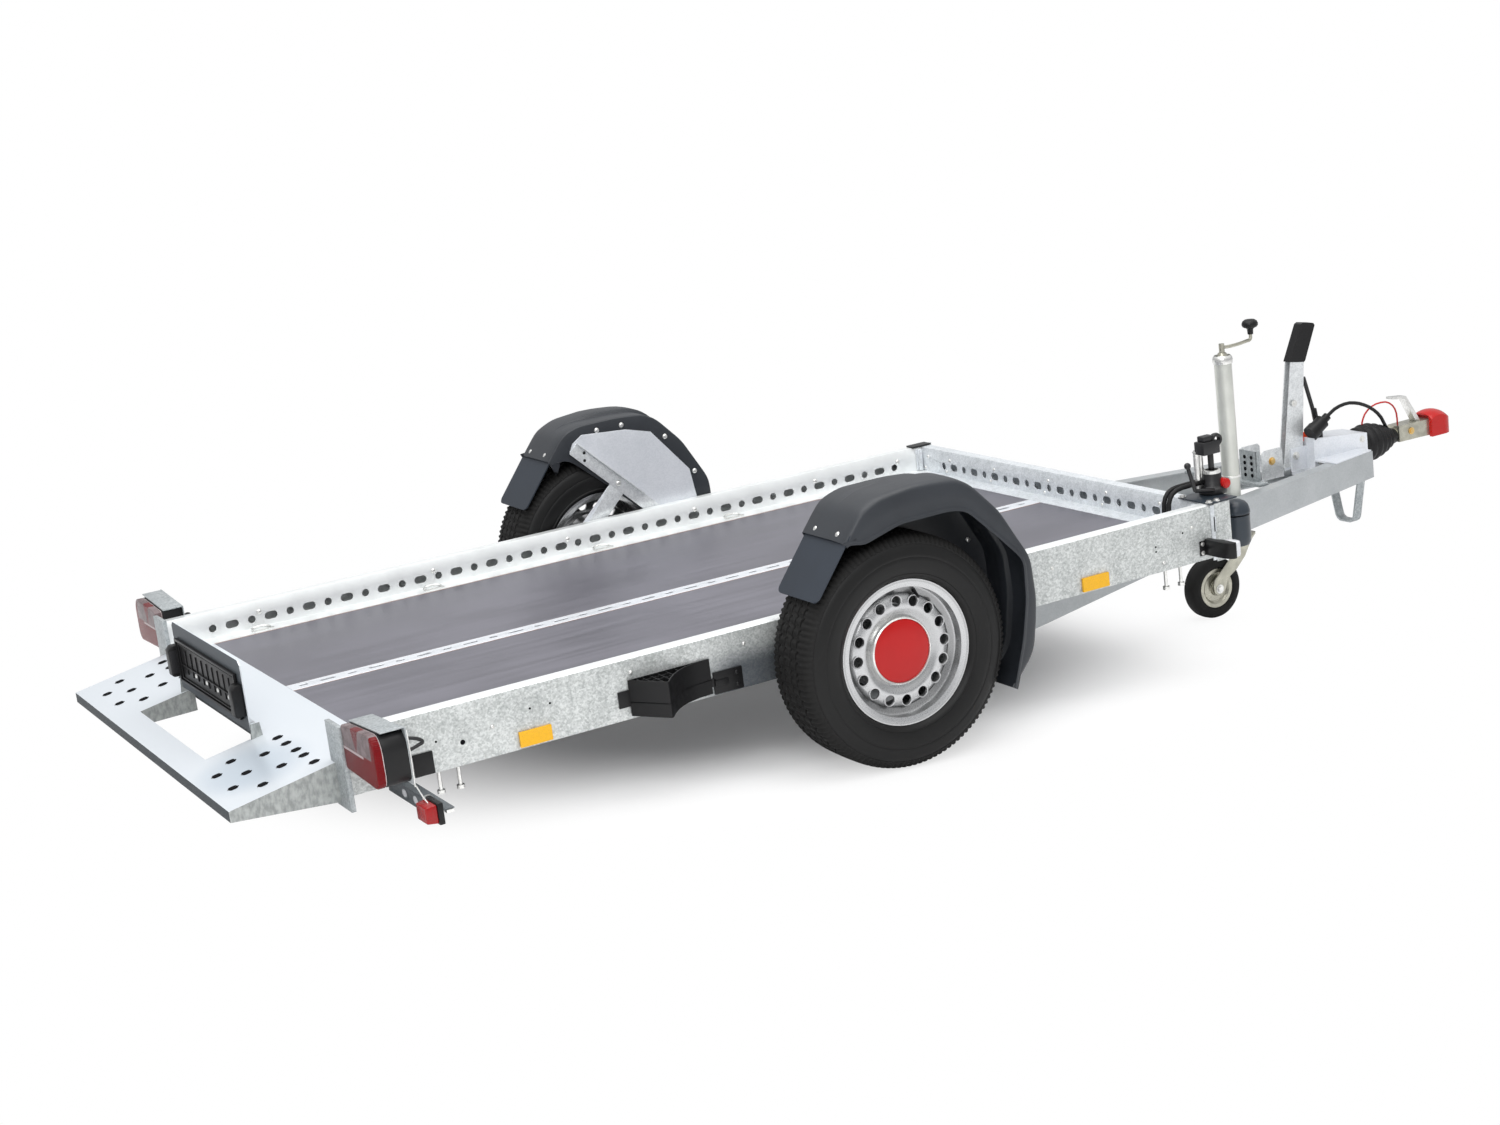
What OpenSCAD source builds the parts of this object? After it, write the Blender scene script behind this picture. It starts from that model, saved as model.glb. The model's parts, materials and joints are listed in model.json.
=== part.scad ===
// Drop-deck trailer, standing on its road wheels and jockey wheel.
// Body frame: x forward from the main axle, y to the left, z up from the tyres' foot.
// place() then tips the body nose-up about the main axle and centres it on the origin.

/* [Stance] */
// nose-up angle when parked on the jockey wheel, degrees
nose_up = 3.9; // [0:0.1:5]

/* [Deck] */
// outer face of a side rail, from the middle
rail_y = 785; // [700:1:900]
// height of the side rails
rail_h = 160; // [120:1:200]
// width of the rail's top flange
rail_w = 46; // [36:1:60]
// underside of the rails above the floor
rail_z = 275; // [255:1:320]
// width of the inward ledge the deck lies beside
ledge_w = 64; // [40:1:90]
// rear end of the rails
rail_rear = -1466; // [-1600:1:-1300]
// front face of the front board
rail_front = 1235; // [1150:1:1400]
// sheet thickness of rails and ramp
sheet_t = 3; // [2:0.5:5]
// plywood thickness
ply_t = 15; // [9:1:21]
// pitch of the perforation, round hole to slot
hole_pitch = 60; // [50:1:80]
// radius of the round lashing holes
hole_r = 11.5; // [8:0.5:14]

/* [Ramp] */
// rear edge of the ramp
ramp_rear = -1752; // [-1900:1:-1650]
// top of the ramp's rear edge
ramp_z = 298; // [285:1:320]
// half the width of the ramp
ramp_y = 722; // [690:1:735]
// half the width of the opening for the plate flap
gap_y = 300; // [260:1:340]

/* [Wheels] */
// road tyre outer radius
tyre_r = 314.5; // [290:0.5:330]
// road tyre width
tyre_w = 201; // [180:1:210]
// wheel mid-plane from the middle
wheel_y = 900; // [898:1:950]
// rim flange radius
rim_r = 195; // [190:1:198]
// number of round holes in a rim
rim_holes = 16; // [8:1:20]
// jockey wheel outer radius
jockey_r = 100; // [80:1:120]
// jockey wheel width
jockey_w = 60; // [40:1:70]

/* [Drawbar] */
// half the distance over the arms at their front end
arm_y = 115; // [112:1:130]
// front end of the arms
arm_front = 2445; // [2420:1:2460]
// spread of the arms, degrees each
arm_angle = 13.77; // [12:0.05:14]
// flange width of an arm
arm_w = 50; // [40:1:52]
// wall of an arm
arm_t = 4; // [3:0.5:6]

/* [Jockey] */
// place of the jockey tube along the trailer
jockey_x = 1755; // [1700:1:1800]
// trail of the jockey wheel behind its tube
jockey_trail = 111; // [90:1:130]
// radius of the jockey tube
tube_r = 28; // [24:0.5:30]

/* [Hidden] */
deck_z = rail_z + 80;
rail_top = rail_z + rail_h;
wall_y = rail_y - rail_w;
ledge_y = wall_y - ledge_w;
board_x = rail_front - 50;
hole_z = deck_z + 30;
deck_rear = -1345;
deck_front = board_x - 60;
ramp_bend = -1440;
hinge_x = 1150;
hinge_z = rail_z + 27;
hinge_r = 15;
flap_x = -1540;
flap_z = 365;
axle_x = 140;
axle_z = 158;
tube_y = -(arm_y + (arm_front - jockey_x) * tan(arm_angle) - arm_w / cos(arm_angle) - tube_r - 1);
hub_x = jockey_x - jockey_trail;
hub_z = tyre_r + (jockey_r - tyre_r - hub_x * sin(nose_up)) / cos(nose_up);
neck_z = hub_z + 131;
shaft_z = 275;
tip_x = 2893;
x_rear = ramp_rear * cos(nose_up) - (ramp_z - tyre_r) * sin(nose_up);
x_tip = tip_x * cos(nose_up) - (243 - tyre_r) * sin(nose_up);
x_shift = -(x_rear + x_tip) / 2;

// route points of the lead and of the breakaway cable
lead_route = [[2312, -50, 407], [2331, -48, 416], [2350, -46, 424], [2375, -43, 429],
    [2400, -40, 431], [2425, -37, 430], [2450, -34, 425], [2475, -30, 418], [2500, -26, 408],
    [2525, -22, 396], [2550, -18, 380], [2570, -15, 364], [2588, -12, 345], [2600, -10, 325],
    [2612, -8, 306]];
cable_route = [[2511, 2, 329.3], [2512, 2, 340], [2516, 1, 352], [2525, 0, 368],
    [2540, -2, 382], [2556, -3, 390], [2575, -4, 395], [2597, -5, 396], [2618, -5, 394],
    [2634, -6, 387], [2648, -6, 376], [2658, -6, 362], [2664, -6, 345], [2666, -6, 325],
    [2666, -6, 304.3]];

// hose from the pump over the front board, along the trailer and height
hose_route = [[1210, rail_top + 42], [1170, rail_top + 41], [1150, rail_top + 38],
    [1134, rail_top + 30], [1124, rail_top + 18], [1118, rail_top + 2], [1116, rail_top - 20],
    [1116, rail_top - 48], [1116, deck_z + 2.3]];

galv = [0.72, 0.74, 0.75];
bright = [0.82, 0.84, 0.86];
ply = [0.46, 0.45, 0.49];
black = [0.06, 0.06, 0.07];
slate = [0.2, 0.23, 0.26];
rubber = [0.05, 0.05, 0.05];
silver = [0.8, 0.8, 0.8];
red = [0.8, 0.08, 0.06];
amber = [1, 0.66, 0.05];
zinc = [0.76, 0.77, 0.68];
clear = [0.92, 0.92, 0.95];

module place() {
    translate([x_shift, 0, tyre_r])
        rotate([0, -nose_up, 0])
            translate([0, 0, -tyre_r])
                children();
}

module both() {
    children();
    mirror([0, 1, 0]) children();
}

// a box by its two corners
module span(a, b) {
    translate(a) cube([b[0] - a[0], b[1] - a[1], b[2] - a[2]]);
}

// a profile drawn in y and z, swept along x
module along_x(x0, x1) {
    translate([x0, 0, 0]) rotate([90, 0, 90]) linear_extrude(x1 - x0) children();
}

// a profile drawn in x and z, swept along y
module along_y(y0, y1) {
    translate([0, y1, 0]) rotate([90, 0, 0]) linear_extrude(y1 - y0) children();
}

// a round bar between two points
module bar(a, b, r) {
    d = b - a;
    l = norm(d);
    translate(a)
        rotate([0, acos(d[2] / l), atan2(d[1], d[0])])
            cylinder(h = l, r = r, $fn = 32);
}

// a bent cord through a list of points
module cord(points, r) {
    for (i = [0 : len(points) - 2]) bar(points[i], points[i + 1], r);
    for (i = [1 : len(points) - 2]) translate(points[i]) sphere(r = r, $fn = 32);
}

// a soft cord: one closed tube with n sides swept through its route points
function unit(v) = v / norm(v);
function heading(p, i) = unit(p[min(i + 1, len(p) - 1)] - p[max(i - 1, 0)]);
function side_of(t) = unit([0, 1, 0] - t[1] * t);
function cord_ring(c, t, r, n) = [for (k = [0 : n - 1])
    c + r * (cos(360 * k / n) * side_of(t) + sin(360 * k / n) * cross(t, side_of(t)))];
module soft_cord(p, r, n) {
    m = len(p);
    polyhedron(
        [for (i = [0 : m - 1]) for (q = cord_ring(p[i], heading(p, i), r, n)) q],
        concat([[for (k = [0 : n - 1]) k]],
            [for (i = [0 : m - 2]) for (k = [0 : n - 1])
                [i * n + k, (i + 1) * n + k, (i + 1) * n + (k + 1) % n, i * n + (k + 1) % n]],
            [[for (k = [n - 1 : -1 : 0]) (m - 1) * n + k]]));
}

// round hole or slot through a wall standing in the x and z plane
module wall_hole(x, y0, y1, z, r, long) {
    translate([x - long / 2, y1, z]) rotate([90, 0, 0]) cylinder(h = y1 - y0, r = r, $fn = 32);
    if (long > 0) {
        translate([x + long / 2, y1, z]) rotate([90, 0, 0]) cylinder(h = y1 - y0, r = r, $fn = 32);
        span([x - long / 2, y0, z - r], [x + long / 2, y1, z + r]);
    }
}

// slot through a level sheet, long along x
module deck_slot(x, y, z0, z1, r, long) {
    translate([x - long / 2, y, z0]) cylinder(h = z1 - z0, r = r, $fn = 24);
    translate([x + long / 2, y, z0]) cylinder(h = z1 - z0, r = r, $fn = 24);
    span([x - long / 2, y - r, z0], [x + long / 2, y + r, z1]);
}

module rail_shape() {
    holes = floor((deck_front - deck_rear - 40) / hole_pitch);
    difference() {
        union() {
            difference() {
                along_x(rail_rear, rail_front)
                    polygon([[wall_y, rail_z], [rail_y, rail_z], [rail_y, rail_top - 5],
                        [rail_y - 5, rail_top], [wall_y + 10, rail_top], [wall_y, rail_top - 23]]);
                along_x(rail_rear - 1, rail_front - sheet_t)
                    polygon([[wall_y + sheet_t, rail_z + sheet_t], [rail_y - sheet_t, rail_z + sheet_t],
                        [rail_y - sheet_t, rail_top - 6.5], [rail_y - 6.5, rail_top - sheet_t],
                        [wall_y + 12, rail_top - sheet_t], [wall_y + sheet_t, rail_top - 23.5]]);
            }
            span([rail_rear, ledge_y, deck_z - 1], [board_x, wall_y + 1, deck_z + 2]);
            span([rail_front - 31, rail_y - 1, rail_z - 13], [rail_front + 27, rail_y + 3, rail_top - 1]);
        }
        for (i = [0 : holes])
            wall_hole(deck_rear + 20 + i * hole_pitch, wall_y - 2, wall_y + sheet_t + 2, hole_z,
                hole_r, (i % 2) * 17);
        span([rail_front - 33, rail_y - 0.5, hole_z - 33], [rail_front - 27, rail_y + 4, hole_z + 12]);
    }
}

module rail_left() { color(galv) place() rail_shape(); }
module rail_right() { color(galv) place() mirror([0, 1, 0]) rail_shape(); }

module front_board() {
    color(galv) place() difference() {
        union() {
            difference() {
                along_y(-wall_y, wall_y)
                    polygon([[board_x, rail_z], [rail_front, rail_z], [rail_front, rail_top - 5],
                        [rail_front - 5, rail_top], [board_x + 10, rail_top], [board_x, rail_top - 23]]);
                along_y(-wall_y + 1, wall_y - 1)
                    polygon([[board_x + sheet_t, rail_z - 1], [rail_front - sheet_t, rail_z - 1],
                        [rail_front - sheet_t, rail_top - 6.5], [rail_front - 6.5, rail_top - sheet_t],
                        [board_x + 12, rail_top - sheet_t], [board_x + sheet_t, rail_top - 23.5]]);
            }
            span([deck_front, -ledge_y, deck_z - 1], [board_x + 1, ledge_y, deck_z + 2]);
        }
        for (i = [-10 : 10])
            translate([0, i * hole_pitch, 0]) rotate([0, 0, 90])
                wall_hole(0, -board_x - sheet_t - 2, -board_x + 2, hole_z, hole_r, (abs(i) % 2) * 17);
    }
}

module centre_rail() {
    color(bright) place() difference() {
        along_x(deck_rear, deck_front)
            polygon([[-30, deck_z - ply_t], [-30, deck_z + 1], [30, deck_z + 1], [30, deck_z - ply_t],
                [27, deck_z - ply_t], [27, deck_z - 2], [-27, deck_z - 2], [-27, deck_z - ply_t]]);
        for (i = [0 : floor((deck_front - deck_rear - 60) / 70)])
            deck_slot(deck_rear + 40 + i * 70, 0, deck_z - 4, deck_z + 3, 6, 14 + (i % 2) * 18);
    }
}

module panel_shape() {
    span([deck_rear, 30, deck_z - ply_t], [deck_front, ledge_y, deck_z]);
}
module deck_panel_left() { color(ply) place() panel_shape(); }
module deck_panel_right() { color(ply) place() mirror([0, 1, 0]) panel_shape(); }

// cross member: place along the trailer, width
members = [[-1365, 60], [-900, 50], [-430, 50], [420, 50], [700, 50], [1040, 60]];
module cross_members() {
    color(galv) place() for (m = members) difference() {
        span([m[0] - m[1] / 2, -wall_y, rail_z + 30], [m[0] + m[1] / 2, wall_y, deck_z - ply_t]);
        span([m[0] - m[1] / 2 + 3, -wall_y - 1, rail_z + 33],
            [m[0] + m[1] / 2 - 3, wall_y + 1, deck_z - ply_t - 3]);
    }
}

module pivot_shaft() {
    color(zinc) place()
        translate([hinge_x, wall_y, hinge_z]) rotate([90, 0, 0])
            cylinder(h = 2 * wall_y, r = hinge_r, $fn = 48);
}

// slot row: place along the ramp, distances from the middle
slot_rows = [[-1695, [451, 582]], [-1640, [396, 521, 648]], [-1568, [451, 582]],
    [-1508, [378, 445, 520, 579, 655]]];
module ramp() {
    slope = (deck_z - ramp_z) / (ramp_bend - ramp_rear);
    color(bright) place() difference() {
        union() {
            difference() {
                along_y(-ramp_y, ramp_y)
                    polygon([[deck_rear, deck_z], [ramp_bend, deck_z], [ramp_rear, ramp_z],
                        [ramp_rear, ramp_z - 28], [ramp_rear + 4, ramp_z - 28],
                        [ramp_rear + 4, ramp_z - 3.6], [ramp_bend + 0.5, deck_z - 4],
                        [deck_rear, deck_z - 4]]);
                span([flap_x - 138, -gap_y, 0], [flap_x + 18, gap_y, 500]);
                both() {
                    span([rail_rear, ledge_y, 0], [deck_rear + 1, ramp_y + 1, 500]);
                    for (row = slot_rows)
                        for (y = row[1])
                            deck_slot(row[0], y, 250, 400, 6, 18);
                }
            }
            both() {
                along_y(ramp_y - 4, ramp_y)
                    polygon([[rail_rear - 12, deck_z - 4 - 38 * slope], [ramp_rear, ramp_z - 2],
                        [ramp_rear, ramp_z - 28], [rail_rear - 12, rail_z - 28]]);
                along_y(gap_y, gap_y + 4)
                    polygon([[flap_x + 18, deck_z - 4 - 76 * slope], [ramp_rear + 1, ramp_z - 2],
                        [ramp_rear + 1, ramp_z - 28], [flap_x + 18, ramp_z - 22]]);
                along_y(gap_y + 6, gap_y + 10)
                    polygon([[flap_x - 16, deck_z - 4 - 116 * slope], [flap_x + 16, deck_z - 4 - 84 * slope],
                        [flap_x + 12, flap_z + 10], [flap_x - 12, flap_z + 10]]);
                translate([flap_x, gap_y + 10, flap_z]) rotate([90, 0, 0])
                    cylinder(h = 18, r = 4, $fn = 24);
            }
            span([-1520, -ramp_y, deck_z - 44], [-1490, ramp_y, deck_z - 4 - 80 * slope]);
        }
    }
}

module corner_posts() {
    color(galv) place() both() {
        span([rail_rear - 12, ramp_y, rail_z - 26], [rail_rear, rail_y + 6, rail_top + 16]);
        difference() {
            along_x(-1390, -1387)
                polygon([[rail_y, 262], [1025, 262], [1025, 302], [870, 302], [870, 335], [1008, 335],
                    [1008, 476], [rail_y, 462]]);
            for (y = [905, 968]) {
                translate([-1400, y, 282]) rotate([0, 90, 0]) cylinder(h = 30, r = 7, $fn = 24);
                translate([-1400, y + 20, 282]) rotate([0, 90, 0]) cylinder(h = 30, r = 7, $fn = 24);
                span([-1400, y, 275], [-1370, y + 20, 289]);
            }
        }
        along_x(-1448, -1389)
            polygon([[rail_y, 459], [1000, 473], [1000, 476], [rail_y, 462]]);
    }
}

module lamp_profile() {
    polygon([[792, 348], [1007, 340], [1010, 362], [1007, 464], [990, 472.3], [792, 459.4]]);
}
module lamp_housings() {
    color(black) place() both() along_x(-1450, -1390) lamp_profile();
}
module lamp_lenses() {
    color(red) place() both() intersection() {
        along_x(-1478, -1450) lamp_profile();
        translate([-1150, 900, 405]) rotate([90, 0, 0])
            translate([0, 0, -120]) cylinder(h = 240, r = 326, $fn = 96);
    }
}

module rear_markers() {
    color(red) place() both() {
        span([-1436, 1005, 262], [-1390, 1070, 318]);
    }
}

module front_markers() {
    color(black) place() both() {
        span([1158, rail_y, 286], [1196, rail_y + 4, 334]);
        span([1164, rail_y + 3, 294], [1188, 842, 326]);
        span([1160, 840, 284], [1206, 893, 331]);
    }
}
module marker_lenses() {
    color(clear) place() both() {
        span([1206, 844, 287], [1228, 890, 328]);
    }
}

// reflector: rear and front ends along the rail
module reflectors() {
    color(amber) place() both() for (x = [[-1025, -937], [716, 808]])
        span([x[0], rail_y, rail_z + 5], [x[1], rail_y + 7, rail_z + 45]);
}

module chocks() {
    color(black) place() both() {
        along_y(rail_y + 4, rail_y + 92)
            polygon([[-747, 312], [-740, 268], [-620, 262], [-503, 272], [-503, 398], [-520, 398],
                [-640, 330]]);
        span([-600, rail_y, 285], [-520, rail_y + 5, 380]);
        span([-464, rail_y, 272], [-385, rail_y + 6, 340]);
    }
}

// peg: place along the rail
module lashing_pegs() {
    color(zinc) place() both() for (x = [1030, 1085, -1237, -1185]) {
        translate([x, rail_y - 24, rail_z - 54]) cylinder(h = 54, r = 5, $fn = 24);
        translate([x, rail_y - 24, rail_z - 62]) cylinder(h = 9, r = 10, $fn = 24);
    }
}

module pump_plate() {
    color(slate) place() {
        span([1192, -775, rail_top], [1340, -640, rail_top + 5]);
    }
}
module pump() {
    color(black) place() {
        z0 = rail_top + 5;
        translate([1295, -700, z0]) cylinder(h = 42, r = 44, $fn = 48);
        translate([1295, -700, z0 + 42]) cylinder(h = 26, r = 34, $fn = 48);
        translate([1295, -700, z0 + 68]) cylinder(h = 60, r = 13, $fn = 32);
        for (y = [-722, -678]) bar([1262, y, z0 + 40], [1240, y, z0 + 130], 7);
        span([1222, -730, z0 + 118], [1318, -670, z0 + 166]);
        translate([1300, -726, z0 + 158]) rotate([90, 0, 0]) cylinder(h = 20, r = 15, $fn = 32);
        bar([1250, -735, z0 + 12], [1206, -742, z0 + 90], 7);
    }
    color(red) place()
        translate([1300, -744, rail_top + 38]) rotate([90, 0, 0]) cylinder(h = 24, r = 17, $fn = 32);
}
module tank() {
    color(slate) place() {
        translate([1364, -712, 252]) cylinder(h = 138, r = 41, $fn = 64);
        translate([1364, -712, 390]) cylinder(h = 8, r = 36, $fn = 64);
        translate([1364, -712, 240]) cylinder(h = 12, r = 30, $fn = 64);
        span([rail_front, -724, 300], [1340, -700, 360]);
    }
}
// hose: distance from the middle, front end at the pump
module hoses() {
    color(black) place() for (h = [[-690, 1251], [-668, 1263]])
        soft_cord([for (q = concat([[h[1], rail_top + 42]], hose_route)) [q[0], h[0], q[1]]], 7, 12);
}

module plate_flap() {
    color(galv) place() {
        along_x(flap_x - 12, flap_x - 9)
            polygon([[-300, 352], [300, 352], [300, 528], [288, 540], [-288, 540], [-300, 528]]);
        both() difference() {
            along_y(gap_y - 6, gap_y - 3)
                polygon([[flap_x - 10, 352], [flap_x + 6, 355], [flap_x + 9, flap_z],
                    [flap_x + 5, flap_z + 9], [flap_x - 10, 392]]);
            translate([flap_x, gap_y, flap_z]) rotate([90, 0, 0]) cylinder(h = 20, r = 4.5, $fn = 24);
        }
    }
}
module plate_holder() {
    color(black) place() difference() {
        span([flap_x - 22, -260, 378], [flap_x - 12, 260, 500]);
        for (y = [-170, 0, 170])
            span([flap_x - 23, y - 55, 410], [flap_x - 17, y + 55, 470]);
    }
}
module plate_lamps() {
    color(black) place() both()
        span([flap_x - 42, 262, 392], [flap_x - 12, 296, 478]);
}

// side outline of an arm, shrunk by g at top and bottom
function arm_outline(g) = [for (p = [[arm_front, 177 + g], [arm_front, 268 - g], [1250, 272 - g],
    [-70, 200 - g], [-70, 105 + g], [762, 130 + g], [1215, 150 + g], [1740, 166 + g]])
    [(p[0] - arm_front) / cos(arm_angle), p[1]]];

module arm_at() {
    translate([arm_front, arm_y, 0]) rotate([0, 0, -arm_angle]) children();
}

module arm_shape() {
    difference() {
        union() {
            difference() {
                arm_at() along_y(-arm_w, 0) polygon(arm_outline(0));
                arm_at() along_y(-arm_w - 1, -arm_t) scale([1.01, 1]) translate([5, 0])
                    polygon(arm_outline(arm_t));
            }
            difference() {
                translate([hinge_x - 30, arm_lug_y() - 8, 258]) cube([60, 16, hinge_z - 258]);
                arm_at() along_y(-arm_w, 0) polygon(arm_outline(1));
            }
            translate([hinge_x, arm_lug_y() + 8, hinge_z]) rotate([90, 0, 0])
                cylinder(h = 16, r = 30, $fn = 48);
        }
        translate([hinge_x, arm_lug_y() + 10, hinge_z]) rotate([90, 0, 0])
            cylinder(h = 20, r = hinge_r + 0.3, $fn = 48);
        span([axle_x - 40, 0, axle_z - 40], [axle_x + 40, 800, axle_z + 40]);
    }
}
function arm_lug_y() = arm_y + (arm_front - hinge_x) * tan(arm_angle) - 28;

module drawbar_left() { color(galv) place() arm_shape(); }
module drawbar_right() { color(galv) place() mirror([0, 1, 0]) arm_shape(); }

module axle() {
    color(galv) place() difference() {
        span([axle_x - 40, -736, axle_z - 40], [axle_x + 40, 736, axle_z + 40]);
        span([axle_x - 34, -730, axle_z - 34], [axle_x + 34, 730, axle_z + 34]);
    }
}

module stub_arms() {
    d = sqrt(axle_x * axle_x + (tyre_r - axle_z) * (tyre_r - axle_z));
    color(black) place() both() {
        translate([axle_x, 794, axle_z]) rotate([90, 0, 0]) cylinder(h = 58, r = 24, $fn = 48);
        translate([axle_x, 794, axle_z]) rotate([90, 0, 0]) cylinder(h = 3.6, r = 38, $fn = 48);
        translate([axle_x, 790.4, axle_z]) rotate([0, -atan2(tyre_r - axle_z, -axle_x), 0])
            translate([0, 0, -34]) cube([d, 3.6, 68]);
        translate([0, 794, tyre_r]) rotate([90, 0, 0]) cylinder(h = 3.6, r = 60, $fn = 48);
        translate([0, 806, tyre_r]) rotate([90, 0, 0]) cylinder(h = 12.1, r = 122, $fn = 64);
        translate([0, wheel_y + 30, tyre_r]) rotate([90, 0, 0])
            cylinder(h = wheel_y + 30 - 800, r = 17, $fn = 48);
    }
}

// outer outline of a mudguard, side view
guard_line = [[-166, 648], [-105, 722], [-46, 742], [91, 744], [184, 737], [229, 714], [314, 624],
    [395, 483], [399, 372], [378, 237], [314, 141]];
function shrink(line, s) = [for (p = line) [p[0] * s, tyre_r + (p[1] - tyre_r) * s]];
function back(line) = [for (i = [len(line) - 1 : -1 : 0]) line[i]];
skirt_line = [[-150, 643], [-112, 630], [-59, 645], [5, 662], [160, 664], [209, 654], [306, 557],
    [373, 485], [370, 378], [349, 272], [308, 148]];
flange_line = [[-150, 643], [-112, 636], [-59, 668], [40, 694], [150, 694], [189, 684], [270, 600],
    [331, 526], [342, 443], [345, 300], [308, 160]];

module guard_shape() {
    along_y(793.8, 1010) polygon(concat(guard_line, back(shrink(guard_line, 0.988))));
    along_y(1007, 1010) polygon(concat(guard_line, back(skirt_line)));
    along_y(793.8, 797.3) polygon(concat(guard_line, back(flange_line)));
    along_y(860, 945) polygon(concat(shrink(guard_line, 1.012), back(shrink(guard_line, 0.995))));
}
module mudguard_left() { color(slate) place() guard_shape(); }
module mudguard_right() { color(slate) place() mirror([0, 1, 0]) guard_shape(); }

module mud_flaps() {
    color(slate) place() both() difference() {
        translate([-158, 0, 646]) rotate([0, 38.1, 0]) {
            span([0, 800, -152], [4, 1004, 22]);
            span([0, 820, -172], [4, 984, -150]);
            for (y = [820, 984])
                translate([0, y, -152]) rotate([0, 90, 0]) cylinder(h = 4, r = 20, $fn = 32);
        }
        guard_shape();
    }
}

module guard_supports() {
    color(bright) place() both() {
        along_y(790.2, 793.8) {
            polygon([[-75, 690], [-40, 712], [115, 700], [203, 676], [326, 528], [340, 434],
                [340, 330], [250, 260], [190, 260], [190, 385], [132, 441], [39, 539], [-90, 660]]);
            polygon([[39, 540], [84, 502], [-20, 400], [-60, 400], [-84, 425]]);
        }
        span([192, 790.2, 120], [250, 793.8, 262]);
        span([180, 700, 120], [250, 793.8, 132]);
    }
}

module overrun_housing() {
    color(bright) place() {
        difference() {
            along_y(-60, 60) polygon([[2236, 207], [2475, 232], [2475, 320], [2236, 346]]);
            along_y(-55, 55) polygon([[2241, 200], [2470, 200], [2470, 315], [2241, 340]]);
        }
        difference() {
            both() linear_height(266, 273)
                polygon([[2236, 58], [2236, arm_y + (arm_front - 2236) * tan(arm_angle) - 2],
                    [2440, arm_y - 1], [2440, 58]]);
            both() arm_at() along_y(-arm_w, 0) polygon(arm_outline(0));
        }
        both() span([2170, 15, 240], [2238, 21, 318]);
    }
}
module linear_height(z0, z1) {
    translate([0, 0, z0]) linear_extrude(z1 - z0) children();
}

// bellows outline: distance from its rear end, radius
bellows_line = [[0, 50], [14, 56], [24, 49], [36, 54], [48, 46], [60, 51], [72, 43], [84, 47],
    [96, 38], [110, 42], [124, 33], [138, 36], [156, 27], [176, 27]];
module bellows() {
    color(black) place() translate([2475, 0, shaft_z]) rotate([0, 90, 0])
        rotate_extrude($fn = 64)
            polygon(concat([[21, 0]], [for (p = bellows_line) [p[1], p[0]]], [[21, 176]]));
}

module head_outline(g) {
    polygon([[2640, -28 - g], [2740, -30 - g], [2842, -38 - g], [2842, 38 + g], [2740, 30 + g],
        [2640, 28 + g]]);
}
module coupling_head() {
    color(zinc) place() difference() {
        union() {
            translate([2475, 0, shaft_z]) rotate([0, 90, 0]) cylinder(h = 190, r = 20.5, $fn = 48);
            linear_height(248, 304) head_outline(0);
            translate([2842, 0, 244]) cylinder(h = 60, r = 38, $fn = 64);
        }
        translate([2842, 0, 240]) cylinder(h = 20, r = 25.2, $fn = 64);
        translate([2842, 0, 260]) sphere(r = 25.2, $fn = 64);
        translate([2475, 0, shaft_z]) rotate([0, 90, 0]) difference() {
            cylinder(h = 177, r = 200, $fn = 48);
            translate([0, 0, -1]) cylinder(h = 179, r = 20.5, $fn = 48);
        }
    }
}
module coupling_cap() {
    color(red) place() difference() {
        intersection() {
            union() {
                span([2786, -48, 243], [2845, 48, 340]);
                translate([2845, 0, 243]) cylinder(h = 97, r = 48, $fn = 96);
            }
            translate([2822, 0, 250]) sphere(r = 81, $fn = 128);
        }
        linear_height(200, 304) head_outline(0.5);
        translate([2842, 0, 200]) cylinder(h = 104, r = 38.5, $fn = 64);
        span([2700, -32, 290], [2800, 32, 316]);
    }
}
module coupling_handle() {
    color(silver) place() along_y(-15, 15)
        polygon([[2744, 304], [2764, 304], [2704, 400], [2640, 407], [2639, 399], [2696, 391]]);
}

module handbrake_lever() {
    color(silver) place() difference() {
        along_y(-15, 15) polygon([[2142, 258], [2222, 252], [2256, 608], [2200, 618]]);
        along_y(-11, 11) polygon([[2130, 266], [2214, 260], [2247, 600], [2190, 612]]);
    }
}
module handbrake_grip() {
    color(black) place() difference() {
        along_y(-17, 17)
            polygon([[2194, 610], [2256, 600], [2262, 606], [2312, 716], [2306, 724], [2262, 732],
                [2252, 728]]);
        along_y(-15, 15) polygon([[2142, 258], [2222, 252], [2256, 608], [2200, 618]]);
    }
}
module brake_strut() {
    color(black) place() difference() {
        union() {
            bar([2262, 0, 545], [2300, 0, 410], 7);
            bar([2298, 0, 430], [2314, 0, 340], 10);
        }
        along_y(-15, 15) polygon([[2142, 258], [2222, 252], [2256, 608], [2200, 618]]);
        along_y(-60, 60) polygon([[2236, 207], [2475, 232], [2475, 320], [2236, 346]]);
    }
}

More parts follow.
